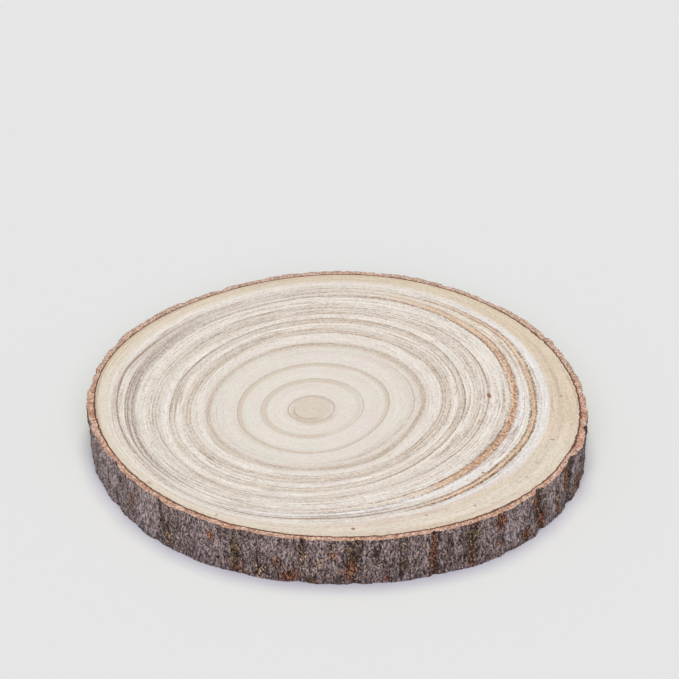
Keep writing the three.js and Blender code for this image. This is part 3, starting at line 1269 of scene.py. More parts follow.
@dataclass
class SawnWood:
    """The wood of the slice: two sawn faces and the side under the bark.

    Its map shows the two faces side by side, each over its face share, and the hidden side in a
    thin strip.
    """

    trunk: Trunk
    columns: int = 720
    rings: int = 50
    groove: float = 0.08
    groove_depth: float = 0.10
    crease: float = 25.0
    lies_flat: float = 0.9
    face_share: float = 0.286
    face_room: float = 1.02
    strip_left: float = 0.02
    strip_length: float = 0.36
    strip_foot: float = 0.96
    strip_width: float = 0.01

    def grid(self) -> tuple[Array, Array]:
        """Lays out the rings of points on the upper face, from the pith outwards.

        Returns:
            The points, ring by ring, and the age of each ring.
        """
        ages = self.trunk.oldest_ring * np.arange(1, self.rings + 1) / self.rings
        angle = FULL_TURN * np.arange(self.columns) / self.columns
        reach = np.stack([self.trunk.ring_radius(np.full_like(angle, age), angle) for age in ages])
        reach[-1] -= self.groove
        pith = self.trunk.pith_place()
        across = pith[0] + reach * np.cos(np.radians(angle))
        along = pith[1] + reach * np.sin(np.radians(angle))
        return np.stack([across, along], -1), ages

    def build(self) -> bpy.types.Object:
        """Builds the wood as one closed mesh.

        Returns:
            The object, at the origin.
        """
        flat, ages = self.grid()
        rings, columns = self.rings, self.columns
        thick = self.trunk.thickness
        outward = flat[-1] - flat[-1].mean(0)
        wall = flat[-1] + self.groove * outward / np.linalg.norm(outward, axis=1)[:, None]

        def level(points: Array, height: float) -> Array:
            """Lifts points to a height."""
            return np.concatenate([points, np.full((len(points), 1), height)], 1)

        layers = [level(flat[ring], thick) for ring in range(rings)]
        layers.append(level(wall, thick - self.groove_depth))
        layers.append(level(wall, self.groove_depth))
        layers += [level(flat[ring], 0.0) for ring in reversed(range(rings))]
        pith = self.trunk.pith_place()
        points = np.concatenate([*layers, np.array([[*pith, thick], [*pith, 0.0]])])
        age = np.concatenate([ages, [ages[-1], ages[-1]], ages[::-1]])

        here = np.arange(columns)
        after = (here + 1) % columns
        total = len(layers)
        upper_pole = np.full(columns, total * columns)
        last = (total - 1) * columns
        faces = [band(row, row + 1, columns) for row in range(total - 1)]
        faces.append(np.stack([upper_pole, here, after, after], 1))
        faces.append(np.stack([last + here, upper_pole + 1, last + after, last + after], 1))
        mesh = closed_mesh("sawn_wood", points, np.concatenate(faces))
        hold(mesh, "ring_age", np.concatenate([np.repeat(age, columns), [0.0, 0.0]]))
        mesh.shade_smooth()
        mesh.set_sharp_from_angle(angle=math.radians(self.crease))
        self.unwrap(mesh)
        return put("sawn_wood", mesh)

    def unwrap(self, mesh: bpy.types.Mesh) -> None:
        """Lays the two faces side by side in a map, and the hidden side in a thin strip.

        Args:
            mesh: The mesh of the wood.
        """
        corners = np.empty(len(mesh.loops), np.int64)
        mesh.loops.foreach_get("vertex_index", corners)
        points = np.empty(len(mesh.vertices) * 3)
        mesh.vertices.foreach_get("co", points)
        at = (points.reshape(-1, 3) / MM)[corners]
        per_face = np.empty(len(mesh.polygons), np.int64)
        mesh.polygons.foreach_get("loop_total", per_face)
        normals = np.empty(len(mesh.polygons) * 3)
        mesh.polygons.foreach_get("normal", normals)
        facing = np.repeat(normals.reshape(-1, 3)[:, 2], per_face)[:, None]

        across = self.face_share * at[:, 0] / self.trunk.mean_radius
        along = self.face_share * at[:, 1] / self.trunk.mean_radius
        edge = 0.5 / BAKE_SIDE + self.face_share * self.face_room
        upper = np.stack([edge + across, edge + along], 1)
        lower = np.stack([1.0 - edge - across, 1.0 - edge + along], 1)
        turn = np.arctan2(at[:, 1], at[:, 0])
        starts = np.repeat(np.concatenate([[0], np.cumsum(per_face)[:-1]]), per_face)
        turn = turn[starts] + (turn - turn[starts] + math.pi) % (2.0 * math.pi) - math.pi
        strip_across = self.strip_left + self.strip_length * (turn + math.pi) / (2.0 * math.pi)
        strip_up = self.strip_foot + self.strip_width * at[:, 2] / self.trunk.thickness
        strip = np.stack([strip_across, strip_up], 1)

        place = np.where(facing > self.lies_flat, upper, lower)
        place = np.where(np.abs(facing) > self.lies_flat, place, strip)
        uv = mesh.uv_layers.new(name=BAKE_MAP)
        uv.data.foreach_set("uv", np.ascontiguousarray(place, dtype=np.float32).ravel())


def shrunk(spot: Vector, across: float, up: float, shift: float) -> Vector:
    """Brings a spot into a pattern of such a size, moved so that no two look the same."""
    moved = Vector((shift, -shift, shift * SHIFT_UP))
    return Vector((spot.x / across, spot.y / across, spot.z / up)) + moved


@dataclass(frozen=True)
class Swell:
    """A cloudy unevenness of the bark: its size across and up, its shift, layers and height."""

    across: float
    up: float
    shift: float
    layers: int
    height: float = 1.0

    def at(self, spots: list[Vector]) -> Array:
        """Gives the unevenness at each spot, about 0 on average and before its height counts."""
        places = [shrunk(spot, self.across, self.up, self.shift) for spot in spots]
        return np.array([noise.fractal(place, 1.0, 2.0, self.layers) for place in places])


@dataclass(frozen=True)
class Cleft:
    """Cracks round cells of bark: the cells' size across and up, their shift, and the cracks.

    The cracks have a width, as a share of a cell, a depth and a painted shade, how dark the
    shader paints them. The cells are bent a little, so that no crack runs straight.
    """

    across: float
    up: float
    shift: float
    width: float
    depth: float
    painted_shade: float
    bend: float = 0.35
    bend_waves: float = 1.3
    bend_shifts: tuple[tuple[float, float, float], ...] = (
        (9.1, 3.7, 5.3),
        (-7.7, 2.9, 8.3),
        (4.3, -6.1, 1.9),
    )

    def at(self, spots: list[Vector]) -> Array:
        """Gives how far in a crack each spot lies.

        Args:
            spots: The spots, in millimetres.

        Returns:
            From 0 beside the cracks to 1 in the middle of one.
        """
        shifts = [Vector(shift) for shift in self.bend_shifts]
        gaps = []
        for spot in spots:
            place = shrunk(spot, self.across, self.up, self.shift)
            place += self.bend * Vector([noise.noise(place * self.bend_waves + shift) for shift in shifts])
            near = noise.voronoi(place)[0]
            gaps.append(near[1] - near[0])
        return 1.0 - smoothstep(0.0, self.width, np.array(gaps))


@dataclass
class Bark:
    """The bark round the slice, with its furrows, clefts and scales.

    Its map shows it in strips, one above the other.
    """

    trunk: Trunk
    columns: int = 1600
    levels: int = 46
    rim_steps: int = 4
    seam: float = 0.03
    seam_width: float = 0.08
    seam_depth: float = 0.10
    edge_round: float = 0.1
    chip_from: float = 0.25
    chip_depth: float = 0.3
    crease: float = 55.0
    outermost: float = 0.999
    faintest: float = 0.15
    crumb_margin: float = 0.8
    flake_margin: float = 3.2
    flake_clearance: float = 2.0
    sway: Swell = Swell(7.0, 9.0, 11.0, 3, 1.2)
    wide: Cleft = Cleft(9.0, 24.0, 3.0, 0.11, 0.34, 0.45)
    fine: Cleft = Cleft(2.6, 5.0, 17.0, 0.16, 0.30, 0.25)
    fine_where: Swell = Swell(16.0, 18.0, 59.0, 2)
    fine_from: float = -0.30
    fine_full: float = 0.20
    coarse: Swell = Swell(5.0, 9.0, 23.0, 3, 0.13)
    rough: Swell = Swell(1.7, 2.6, 31.0, 3, 0.22)
    grit: Swell = Swell(0.8, 1.0, 47.0, 1, 0.26)
    scale_steps: float = 3.0
    scale_height: float = 0.16
    stand_out: float = 0.32
    furrow_share: float = 0.82
    # Painted shade in furrows and cracks: the depth that is shaded darkest, and the painted light that
    # eases it on raised roughness.
    fully_shaded_depth: float = 1.5
    painted_light_on_rough: float = 0.30
    undercut_bend: float = 0.6
    strips: int = 5
    strip_left: float = 0.01
    strip_foot: float = 0.02
    strip_fill: float = 0.94
    hidden_strip: float = 0.5
    far_from: float = -15.0
    far_span: float = 200.0
    far_draws: tuple[int, ...] = (200, 300, 400, 500, 600)
    far_width: tuple[float, float] = (3.5, 4.5)
    far_tall: tuple[float, float] = (4.0, 22.0)
    far_strength: tuple[float, float] = (0.5, 0.5)
    far_kinds: tuple[Patch, ...] = (
        Patch.MOSS, Patch.SHADE, Patch.RUST, Patch.SHADE, Patch.LICHEN, Patch.SHADE)
    far_patches: int = 56
    undercuts: tuple[Rib, ...] = (Rib(-174, 1.8, 56), Rib(-15, 0.9, 40))
    patches: tuple[BarkPatch, ...] = (
        # Pale patches: partly paler bark, partly painted light. The widest lightens the wall's left side.
        BarkPatch(-158.0, 14.0, 56, 60, Patch.PALE, 0.75),
        BarkPatch(-138.0, 14.0, 20, 60, Patch.PALE, 0.55),
        BarkPatch(-121.0, 14.0, 24, 40, Patch.PALE, 0.3),
        BarkPatch(-48.0, 13.0, 26, 30, Patch.PALE, 0.55),
        BarkPatch(-34.0, 13.0, 12, 34, Patch.PALE, 0.65),
        BarkPatch(-13.0, 13.0, 20, 34, Patch.SHADE, 0.55),
        BarkPatch(-163.0, 12.0, 7, 12, Patch.SHADE, 0.5),
        BarkPatch(-155.0, 8.0, 6, 12, Patch.SHADE, 0.5),
        BarkPatch(-149.0, 18.0, 5, 10, Patch.SHADE, 0.6),
        BarkPatch(-143.6, 14.0, 4.5, 12, Patch.RUST, 0.6),
        BarkPatch(-143.0, 8.0, 6, 10, Patch.SHADE, 0.4),
        BarkPatch(-133.2, 21.0, 4, 14, Patch.SHADE, 0.9),
        BarkPatch(-131.4, 8.0, 8, 14, Patch.SHADE, 0.8),
        BarkPatch(-130.6, 6.4, 5, 5, Patch.LICHEN, 0.9),
        BarkPatch(-129.0, 16.0, 4, 7, Patch.MOSS, 0.5),
        BarkPatch(-125.0, 12.0, 6, 16, Patch.SHADE, 0.4),
        BarkPatch(-119.3, 17.0, 5, 7, Patch.RUST, 0.8),
        BarkPatch(-113.2, 13.0, 6, 34, Patch.SHADE, 0.5),
        BarkPatch(-113.2, 13.0, 5, 26, Patch.MOSS, 0.7),
        BarkPatch(-112.8, 3.5, 7, 6, Patch.RUST, 0.7),
        BarkPatch(-107.2, 4.0, 6, 8, Patch.LICHEN, 0.6),
        BarkPatch(-107.6, 6.0, 8, 12, Patch.SHADE, 0.5),
        BarkPatch(-103.4, 11.0, 6, 9, Patch.SHADE, 0.6),
        BarkPatch(-103.6, 11.0, 4, 5, Patch.RUST, 0.5),
        BarkPatch(-100.4, 3.4, 9, 7, Patch.RUST, 1.0),
        BarkPatch(-98.0, 14.2, 5, 12, Patch.LICHEN, 0.6),
        BarkPatch(-96.6, 10.0, 7, 14, Patch.SHADE, 0.4),
        BarkPatch(-95.8, 1.6, 6, 5, Patch.MOSS, 0.8),
        BarkPatch(-91.5, 21.5, 5, 7, Patch.SHADE, 0.6),
        BarkPatch(-91.5, 16.4, 5, 5, Patch.RUST, 0.7),
        BarkPatch(-93.7, 11.5, 4, 5, Patch.LICHEN, 0.5),
        BarkPatch(-87.0, 13.0, 8, 36, Patch.SHADE, 0.7),
        BarkPatch(-87.0, 16.0, 6, 22, Patch.MOSS, 0.6),
        BarkPatch(-87.3, 8.5, 6, 12, Patch.RUST, 0.8),
        BarkPatch(-81.3, 17.0, 7, 14, Patch.SHADE, 0.6),
        BarkPatch(-79.4, 3.0, 5, 5, Patch.RUST, 0.5),
        BarkPatch(-76.3, 13.0, 1.6, 30, Patch.SHADE, 0.8),
        BarkPatch(-75.5, 8.0, 4, 12, Patch.MOSS, 0.4),
        BarkPatch(-68.9, 13.0, 4.0, 44, Patch.SHADE, 1.0),
        BarkPatch(-68.9, 13.0, 2.8, 44, Patch.RUST, 0.75),
        BarkPatch(-65.2, 17.0, 5, 14, Patch.SHADE, 0.5),
        BarkPatch(-66.0, 5.0, 6, 8, Patch.SHADE, 0.4),
        BarkPatch(-60.0, 16.0, 9, 26, Patch.SHADE, 0.8),
        BarkPatch(-59.8, 18.0, 7, 14, Patch.MOSS, 0.6),
        BarkPatch(-60.2, 6.0, 5, 12, Patch.RUST, 0.6),
        BarkPatch(-52.6, 20.5, 8, 10, Patch.SHADE, 0.8),
        BarkPatch(-52.8, 21.0, 6, 9, Patch.RUST, 0.9),
        BarkPatch(-53.4, 8.7, 5, 6, Patch.RUST, 0.6),
        BarkPatch(-51.5, 12.0, 4, 10, Patch.SHADE, 0.5),
        BarkPatch(-45.0, 5.2, 8, 10, Patch.SHADE, 0.7),
        BarkPatch(-45.2, 5.2, 6, 8, Patch.RUST, 0.95),
        BarkPatch(-41.8, 19.0, 7, 16, Patch.SHADE, 0.75),
        BarkPatch(-41.8, 20.0, 5, 12, Patch.RUST, 0.8),
        BarkPatch(-42.8, 23.0, 4, 5, Patch.LICHEN, 0.5),
        BarkPatch(-39.2, 8.0, 6, 16, Patch.SHADE, 0.75),
        BarkPatch(-39.0, 7.0, 5, 12, Patch.RUST, 0.9),
        BarkPatch(-33.2, 13.0, 4.5, 20, Patch.SHADE, 0.7),
        BarkPatch(-33.2, 14.0, 2.6, 12, Patch.LICHEN, 0.6),
        BarkPatch(-32.6, 6.0, 3, 8, Patch.RUST, 0.7),
        BarkPatch(-26.0, 15.0, 5, 40, Patch.SHADE, 0.25),
        BarkPatch(-24.0, 13.0, 12, 44, Patch.PALE, 0.5),
        BarkPatch(-29.0, 17.0, 7, 16, Patch.RUST, 0.85),
        BarkPatch(-21.5, 6.0, 7, 12, Patch.RUST, 0.85),
        BarkPatch(-26.6, 19.0, 5, 16, Patch.MOSS, 0.55),
        BarkPatch(-23.0, 7.0, 6, 14, Patch.MOSS, 0.5),
        BarkPatch(-28.4, 24.0, 3, 5, Patch.RUST, 0.7),
    )

    def far_patch(self, count: int) -> BarkPatch:
        """Draws one patch on the far side, where the photo doesn't show the bark.

        Args:
            count: Which of them it is.

        Returns:
            The patch.
        """
        place, level, width, tall, strength = [draw(count + first) for first in self.far_draws]
        return BarkPatch(
            at=self.far_from + self.far_span * (count + place) / self.far_patches,
            height=self.trunk.thickness * level,
            width=self.far_width[0] + self.far_width[1] * width,
            tall=self.far_tall[0] + self.far_tall[1] * tall**3,
            kind=self.far_kinds[count % len(self.far_kinds)],
            strength=self.far_strength[0] + self.far_strength[1] * strength,
        )

    def relief(self, angle: Array, height: Array) -> tuple[Array, Array]:
        """Works out the bark's finer shape.

        Args:
            angle: Where round the rim, in degrees.
            height: How far above the lower face, in millimetres.

        Returns:
            The radius, and how deep in a furrow or crack each point is, from 0 to 1, less on raised
            roughness, which the bark's shader paints as shade.
        """
        turn = np.radians(angle)
        radius = self.trunk.mean_radius
        flat = np.stack([radius * np.cos(turn), radius * np.sin(turn), height], -1).reshape(-1, 3)
        spots = [Vector(spot) for spot in flat]
        patterns = (self.sway, self.wide, self.fine, self.fine_where, self.coarse, self.rough, self.grit)
        sway, wide, fine, where, coarse, rough, grit = [
            pattern.at(spots).reshape(angle.shape) for pattern in patterns
        ]
        where = smoothstep(self.fine_from, self.fine_full, where)
        deep = self.trunk.furrow_depth(angle + np.degrees(self.sway.height * sway / radius), height)
        plate = self.trunk.plate_radius(angle, height)
        for cut in self.undercuts:
            lean = (1.0 - height / self.trunk.thickness) ** self.undercut_bend
            plate = plate - cut.height * self.trunk.rib_share(cut, angle) * lean
        reach = (
            plate
            + self.stand_out
            - self.furrow_share * deep
            - self.wide.depth * wide
            - self.fine.depth * fine * where
            + self.scale_height * (np.round(coarse * self.scale_steps) / self.scale_steps)
            + self.coarse.height * coarse
            + self.rough.height * rough
            + self.grit.height * grit
        )
        # Painted shade: deeper in a furrow or crack is darker, and raised roughness is painted lighter.
        dark = deep / self.fully_shaded_depth + self.wide.painted_shade * wide + self.fine.painted_shade * fine * where
        return reach, np.clip(dark - self.painted_light_on_rough * rough, 0.0, 1.0)

    def build(self) -> bpy.types.Object:
        """Builds the bark as one closed ring.

        Returns:
            The object, at the origin.
        """
        thick = self.trunk.thickness
        columns = self.columns
        angle = FULL_TURN * np.arange(columns) / columns
        heights = np.linspace(thick, 0.0, self.levels)
        wall, inside = self.relief(np.tile(angle, (self.levels, 1)), np.tile(heights[:, None], columns))
        inner = self.trunk.wood_radius(angle) + self.seam
        chips = np.maximum(0.0, inside[0] - self.chip_from)
        rows: list[tuple[Array, Array, Array, Array]] = []

        def row(radius: Array, height: float, outward: float, depth: Array) -> None:
            """Adds one row of points round the trunk."""
            rows.append((radius, np.full(columns, height), np.full(columns, outward), depth))

        def sawn_rim(edge: Array, height: float, inset: float) -> list[tuple[object, ...]]:
            """Lays out a sawn rim, from the seam beside the wood to the wall.

            Args:
                edge: The radius of the wall there.
                height: The height of the sawn face.
                inset: How far the seam lies under it.

            Returns:
                What each of its rows is made from.
            """
            still = np.zeros(columns)
            start = inner + self.seam_width
            shares = np.arange(self.rim_steps) / self.rim_steps
            lines = [(start + share * (edge - start), height, share, still) for share in shares]
            return [(inner, height - inset, 0.0, still), *lines]

        for line in sawn_rim(wall[0], thick, self.seam_depth):
            row(*line)
        row(wall[0] - self.edge_round - self.chip_depth * chips, thick, 1.0, inside[0])
        for level in range(1, self.levels):
            row(wall[level], heights[level], 1.0, inside[level])
        for line in reversed(sawn_rim(wall[-1], 0.0, -self.seam_depth)):
            row(*line)

        radius, up, outward, depth = (np.stack(part) for part in zip(*rows))
        turn = np.radians(angle)
        middle = self.trunk.middle()
        points = np.stack([radius * np.cos(turn) - middle[0], radius * np.sin(turn) - middle[1], up], -1)
        count = len(rows)
        faces = [band(line, (line + 1) % count, columns) for line in range(count)]
        mesh = closed_mesh("bark", points.reshape(-1, 3), np.concatenate(faces))
        hold(mesh, "outward", outward.ravel())
        # The furrow attribute carries the painted shade of furrows and cracks to the bark's shader.
        hold(mesh, "furrow", depth.ravel())
        for kind in Patch:
            strength = self.patch_strength(kind, angle, up)
            hold(mesh, kind.value, strength.ravel())
            if kind in CRUMBLY:
                here = np.clip(strength - self.faintest, 0.0, 1.0)
                hold(mesh, kind.crumbs, (here * self.on_wall(outward, up, self.crumb_margin)).ravel())
        plates = np.clip(1.0 - self.flake_clearance * depth, 0.0, 1.0)
        hold(mesh, "plates_here", (plates * self.on_wall(outward, up, self.flake_margin)).ravel())
        first = self.rim_steps + 1
        cut = np.ones(count * columns, np.int32)
        cut[first * columns:(first + self.levels - 1) * columns] = 0
        mesh.polygons.foreach_set("material_index", cut)
        mesh.shade_smooth()
        mesh.set_sharp_from_angle(angle=math.radians(self.crease))
        self.unwrap(mesh, radius, up)
        return put("bark", mesh)

    def on_wall(self, outward: Array, up: Array, margin: float) -> Array:
        """Tells which points lie on the wall, a margin away from both of its edges."""
        return (outward > self.outermost) & (up > margin) & (up < self.trunk.thickness - margin)

    def patch_strength(self, kind: Patch, angle: Array, up: Array) -> Array:
        """Works out where the patches of one kind lie.

        Args:
            kind: What colours them.
            angle: The angle of each column.
            up: The height of each point, row by row.

        Returns:
            How strongly they show at each point.
        """
        total = np.zeros_like(up)
        for patch in (*self.patches, *(self.far_patch(count) for count in range(self.far_patches))):
            if patch.kind is kind:
                aside = 2.0 * self.trunk.arc(patch.at, angle) / patch.width
                above = 2.0 * (up - patch.height) / patch.tall
                total = total + patch.strength * np.exp(-(aside**2) - above**2)
        return np.clip(total, 0.0, 1.0)

    def unwrap(self, mesh: bpy.types.Mesh, radius: Array, up: Array) -> None:
        """Lays the bark in strips, one above the other, in a map.

        Args:
            mesh: The mesh of the bark.
            radius: The radius of each point, row by row.
            up: The height of each point, row by row.
        """
        count, columns = radius.shape
        outwards = np.diff(radius.mean(1), append=radius[0].mean())
        length = np.hypot(outwards, np.diff(up[:, 0], append=up[0, 0]))
        length[-1] = self.hidden_strip
        along = np.concatenate([[0.0], np.cumsum(length)])
        per_strip = columns // self.strips
        tall = 1.0 / self.strips
        scale = self.strip_fill * tall / along[-1]
        width = 2.0 * math.pi * self.trunk.mean_radius / self.strips * scale
        column = np.arange(columns)
        strip = column // per_strip
        left = self.strip_left + width * (column - strip * per_strip) / per_strip
        right = left + width / per_strip
        foot = strip * tall + self.strip_foot * tall
        places = []
        for line in range(count):
            low = foot + scale * along[line]
            high = foot + scale * along[line + 1]
            corners = [(left, low), (left, high), (right, high), (right, low)]
            places.append(np.stack([np.stack(corner, 1) for corner in corners], 1))
        uv = mesh.uv_layers.new(name=BAKE_MAP)
        uv.data.foreach_set("uv", np.concatenate(places).astype(np.float32).ravel())


@dataclass(frozen=True)
class CrumbFinish:
    """What clings to the bark in crumbs: moss, lichen or crumbled inner bark."""

    name: str
    dark: Colour
    light: Colour
    roughness: float = 0.95
    shine: float = 0.1
    relief: float = 0.1
    flecks: Cloud = Cloud(1.1)
    grains: Cloud = Cloud(2.4, 2.0, 0.7)
    dark_to_light: Rise = Rise(0.10, 0.95)
    fleck_change: float = 0.6
    grain_change: float = 0.9

    def material(self) -> bpy.types.Material:
        """Makes the shader of the crumbs.

        Returns:
            The material.
        """
        graph = Shader(self.name)
        place = graph.place()
        first, second, _ = graph.chance(place, self.flecks)
        grains = graph.noise(place, self.grains)
        colour = graph.mix(graph.rise(first, self.dark_to_light), linear(self.dark), linear(self.light))
        colour = graph.vary(colour, (second, self.fleck_change), (grains, self.grain_change))
        return graph.finish(colour, grains, self.relief, self.roughness, self.shine)


@dataclass(frozen=True)
class Scatter:
    """Small shapes that cling to the bark, strewn over it by Geometry Nodes.

    An attribute of the bark says how thickly they lie. Their sizes are half of what they
    measure round the rim, outwards and upwards, and their turn is how far they are twisted.
    """

    name: str
    attribute: str
    per_mm2: float
    half_sizes: tuple[float, float, float]
    turn: float
    seed: int
    smallest: float = 0.55
    largest: float = 1.30

    def tree(self, material: bpy.types.Material) -> bpy.types.NodeTree:
        """Makes the node tree that strews the shapes.

        Args:
            material: What the shapes are made of.

        Returns:
            The tree.
        """
        graph = Graph.group(self.name, "Geometry", {
            "Geometry": "Geometry",
            "Per Square Metre": "Float",
            "Half Sizes": "Vector",
            "Turn": "Vector",
            "Smallest": "Vector",
            "Largest": "Vector",
            "Seed": "Int",
        }, "Geometry")
        given = graph.add("NodeGroupInput", {}).outputs

        def between(low: Socket, high: Socket) -> Socket:
            """Draws a vector between two others for each shape."""
            inputs = {"Min": low, "Max": high, "Seed": given["Seed"]}
            return graph.add("FunctionNodeRandomValue", inputs, data_type="FLOAT_VECTOR").outputs[0]

        here = graph.add("GeometryNodeInputNamedAttribute", {"Name": self.attribute}, data_type="FLOAT")
        points = graph.add("GeometryNodeDistributePointsOnFaces", {
            "Mesh": given["Geometry"],
            "Density": graph.math("MULTIPLY", here.outputs[0], given["Per Square Metre"]),
            "Seed": given["Seed"],
        }, distribute_method="RANDOM")
        upright = graph.add("FunctionNodeAxesToRotation", {
            0: points.outputs["Normal"],
            1: (0.0, 0.0, 1.0),
        }, primary_axis="Y", secondary_axis="Z")
        other_way = graph.vector("MULTIPLY", given["Turn"], (-1.0, -1.0, -1.0)).outputs[0]
        twisted = graph.add("FunctionNodeEulerToRotation", {0: between(other_way, given["Turn"])})
        turned = graph.add("FunctionNodeRotateRotation", {
            0: upright.outputs[0],
            1: twisted.outputs[0],
        }, rotation_space="LOCAL")
        grown = between(given["Smallest"], given["Largest"])
        shape = graph.add("GeometryNodeMeshIcoSphere", {"Radius": 1.0, "Subdivisions": 1})
        strewn = graph.add("GeometryNodeInstanceOnPoints", {
            "Points": points.outputs["Points"],
            "Instance": shape.outputs[0],
            "Rotation": turned.outputs[0],
            "Scale": graph.vector("MULTIPLY", grown, given["Half Sizes"]).outputs[0],
        })
        real = graph.add("GeometryNodeRealizeInstances", {0: strewn.outputs[0]})
        dressed = graph.add("GeometryNodeSetMaterial", {"Geometry": real.outputs[0], "Material": material})
        graph.add("NodeGroupOutput", {0: dressed.outputs[0]})
        return graph.tree

    def build(self, bark: bpy.types.Object, material: bpy.types.Material) -> bpy.types.Object:
        """Strews the shapes over the bark and makes them one plain mesh.

        Args:
            bark: The bark.
            material: What the shapes are made of.

        Returns:
            The object, at the origin.
        """
        ground = put(self.name + "_ground", bark.data.copy())
        tree = self.tree(material)
        modifier = ground.modifiers.new(self.name, "NODES")
        modifier.node_group = tree
        values = {
            "Per Square Metre": self.per_mm2 / MM**2,
            "Half Sizes": [size * MM for size in self.half_sizes],
            "Turn": [self.turn] * 3,
            "Smallest": [self.smallest] * 3,
            "Largest": [self.largest] * 3,
            "Seed": self.seed,
        }
        for item in tree.interface.items_tree:
            if item.in_out == "INPUT" and item.name in values:
                modifier[item.identifier] = values[item.name]
        graph = bpy.context.evaluated_depsgraph_get()
        mesh = bpy.data.meshes.new_from_object(
            ground.evaluated_get(graph), preserve_all_data_layers=True, depsgraph=graph)
        ground.modifiers.remove(modifier)
        bpy.data.objects.remove(ground)
        mesh.name = self.name
        mesh.shade_smooth()
        return put(self.name, mesh)


@dataclass(frozen=True)
class Clinging:
    """What clings to the bark: its own scales, and crumbs of moss, inner bark and lichen."""

    scales: Scatter = Scatter("bark_flakes", "plates_here", 0.06, (0.75, 0.10, 2.0), 0.22, 3)
    crumbs: tuple[tuple[Scatter, CrumbFinish], ...] = (
        (Scatter("moss", Patch.MOSS.crumbs, 0.7, (0.30, 0.22, 0.34), math.pi, 5),
         CrumbFinish("moss", (62, 52, 34), (140, 125, 86))),
        (Scatter("rusty_crumbs", Patch.RUST.crumbs, 0.8, (0.28, 0.20, 0.38), math.pi, 7),
         CrumbFinish("rusty_crumbs", (76, 46, 34), (164, 104, 74))),
        (Scatter("lichen", Patch.LICHEN.crumbs, 0.6, (0.30, 0.14, 0.30), math.pi, 11),
         CrumbFinish("lichen", (140, 108, 80), (222, 200, 168))),
    )

    def build(self, bark: bpy.types.Object, weathered: bpy.types.Material) -> list[bpy.types.Object]:
        """Strews everything over the bark.

        Args:
            bark: The bark.
            weathered: What the bark's outside and its scales are made of.

        Returns:
            One object for each kind.
        """
        scales = self.scales.build(bark, weathered)
        return [scales, *(scatter.build(bark, finish.material()) for scatter, finish in self.crumbs)]


@dataclass(frozen=True)
class Lamp:
    """A wide, far light.

    Its share is how much of the floor's light it gives. It stands at its height above the
    horizon, turned to its side from the front, and its width is the angle that it fills.
    """

    name: str
    colour: tuple[float, float, float]
    share: float
    height: float
    side: float
    width: float

    def build(self) -> None:
        """Puts the light in the scene."""
        rise = math.radians(self.height)
        side = math.radians(self.side)
        data = bpy.data.lights.new(self.name, "SUN")
        data.color = self.colour
        data.energy = math.pi * self.share / math.sin(rise)
        data.angle = math.radians(self.width)
        level = math.cos(rise)
        toward = Vector((math.sin(side) * level, -math.cos(side) * level, math.sin(rise)))
        put(self.name, data).rotation_euler = toward.to_track_quat("Z", "Y").to_euler()


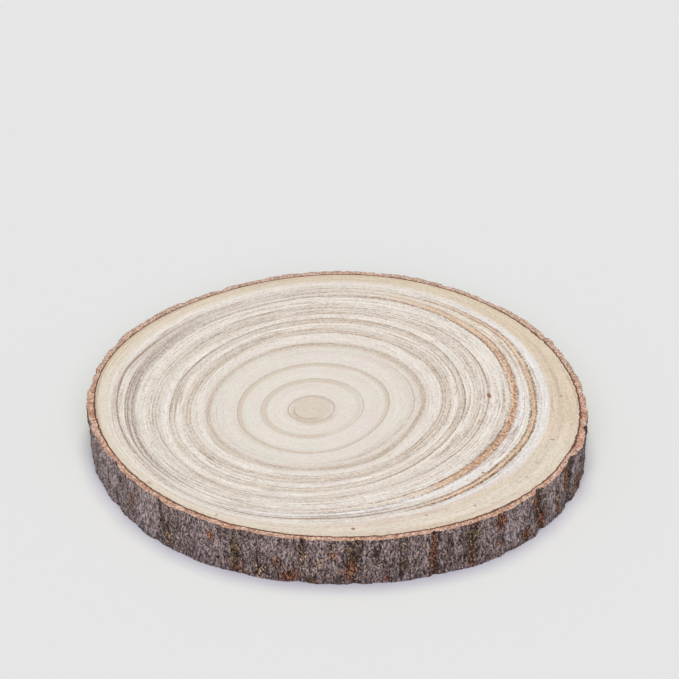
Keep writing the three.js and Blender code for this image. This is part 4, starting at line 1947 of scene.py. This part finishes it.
@dataclass(frozen=True)
class Studio:
    """The pale floor, the soft lights and the camera."""

    floor_side: float = 12.0
    floor_drop: float = 0.0001
    floor_colour: Colour = (230, 230, 230)
    sky_colour: tuple[float, float, float, float] = (0.97, 0.95, 1.18, 1.0)
    sky_strength: float = 0.20
    lamps: tuple[Lamp, ...] = (
        Lamp("top_light", (1.049, 1.079, 0.76), 0.40, 79.0, 180.0, 32.0),
        Lamp("front_light", (0.966, 0.946, 1.15), 0.40, 42.0, 0.0, 50.0),
    )
    camera_distance: float = 1524.0
    camera_height: float = 32.68
    camera_pitch: float = 31.56
    camera_turn: float = 0.03
    camera_lens: float = 157.94

    def camera(self, trunk: Trunk) -> None:
        """Puts the camera where it looks down on the slice from the front.

        Args:
            trunk: The trunk, whose middle the camera's place is counted from.
        """
        rise = math.radians(self.camera_height)
        middle = trunk.middle()
        place = Vector((
            -middle[0],
            -self.camera_distance * math.cos(rise) - middle[1],
            trunk.thickness + self.camera_distance * math.sin(rise),
        ))
        data = bpy.data.cameras.new("camera")
        data.sensor_width = SENSOR_WIDTH
        data.lens = self.camera_lens
        made = put("camera", data)
        turned = Matrix.Rotation(math.radians(-self.camera_turn), 4, "Z")
        tilted = Matrix.Rotation(math.radians(90.0 - self.camera_pitch), 4, "X")
        made.matrix_world = Matrix.Translation(place * MM) @ turned @ tilted
        bpy.context.scene.camera = made

    def floor(self) -> bpy.types.Object:
        """Lays the floor.

        Returns:
            The floor.
        """
        half = self.floor_side / 2.0
        mesh = bpy.data.meshes.new("floor")
        corners = [(-half, -half), (half, -half), (half, half), (-half, half)]
        mesh.from_pydata([(*corner, -self.floor_drop) for corner in corners], [], [(0, 1, 2, 3)])
        material = bpy.data.materials.new("floor")
        material.use_nodes = True
        surface = material.node_tree.nodes["Principled BSDF"]
        surface.inputs["Base Color"].default_value = linear(self.floor_colour)
        surface.inputs["Roughness"].default_value = 1.0
        surface.inputs["Specular IOR Level"].default_value = 0.0
        mesh.materials.append(material)
        made = put("floor", mesh)
        return made

    def light(self) -> None:
        """Lights the slice with a pale sky and wide, soft lights."""
        world = bpy.data.worlds.new("sky")
        world.use_nodes = True
        background = world.node_tree.nodes["Background"]
        background.inputs["Color"].default_value = self.sky_colour
        background.inputs["Strength"].default_value = self.sky_strength
        bpy.context.scene.world = world
        for lamp in self.lamps:
            lamp.build()
        bpy.context.scene.view_settings.view_transform = "Standard"


def attach(made: bpy.types.Object) -> None:
    """Ties a piece to the frame and reports it.

    Args:
        made: The piece.
    """
    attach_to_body(made, BODY)
    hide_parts(NODE)
    LOG.info("%s: %d faces", made.name, len(made.data.polygons))


def main() -> None:
    """Builds the slice and its studio."""
    logging.basicConfig(level=logging.INFO, format="%(name)s: %(message)s")
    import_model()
    trunk = Trunk()
    studio = Studio()
    studio.camera(trunk)
    studio.floor()
    studio.light()

    wood = SawnWood(trunk).build()
    wood.data.materials.append(SawnFinish(trunk).material())
    attach(wood)

    weathered = WeatheredFinish().material()
    bark = Bark(trunk).build()
    bark.data.materials.append(weathered)
    bark.data.materials.append(RindFinish().material())
    for piece in (bark, *Clinging().build(bark, weathered)):
        attach(piece)


if __name__ == "__main__":
    main()
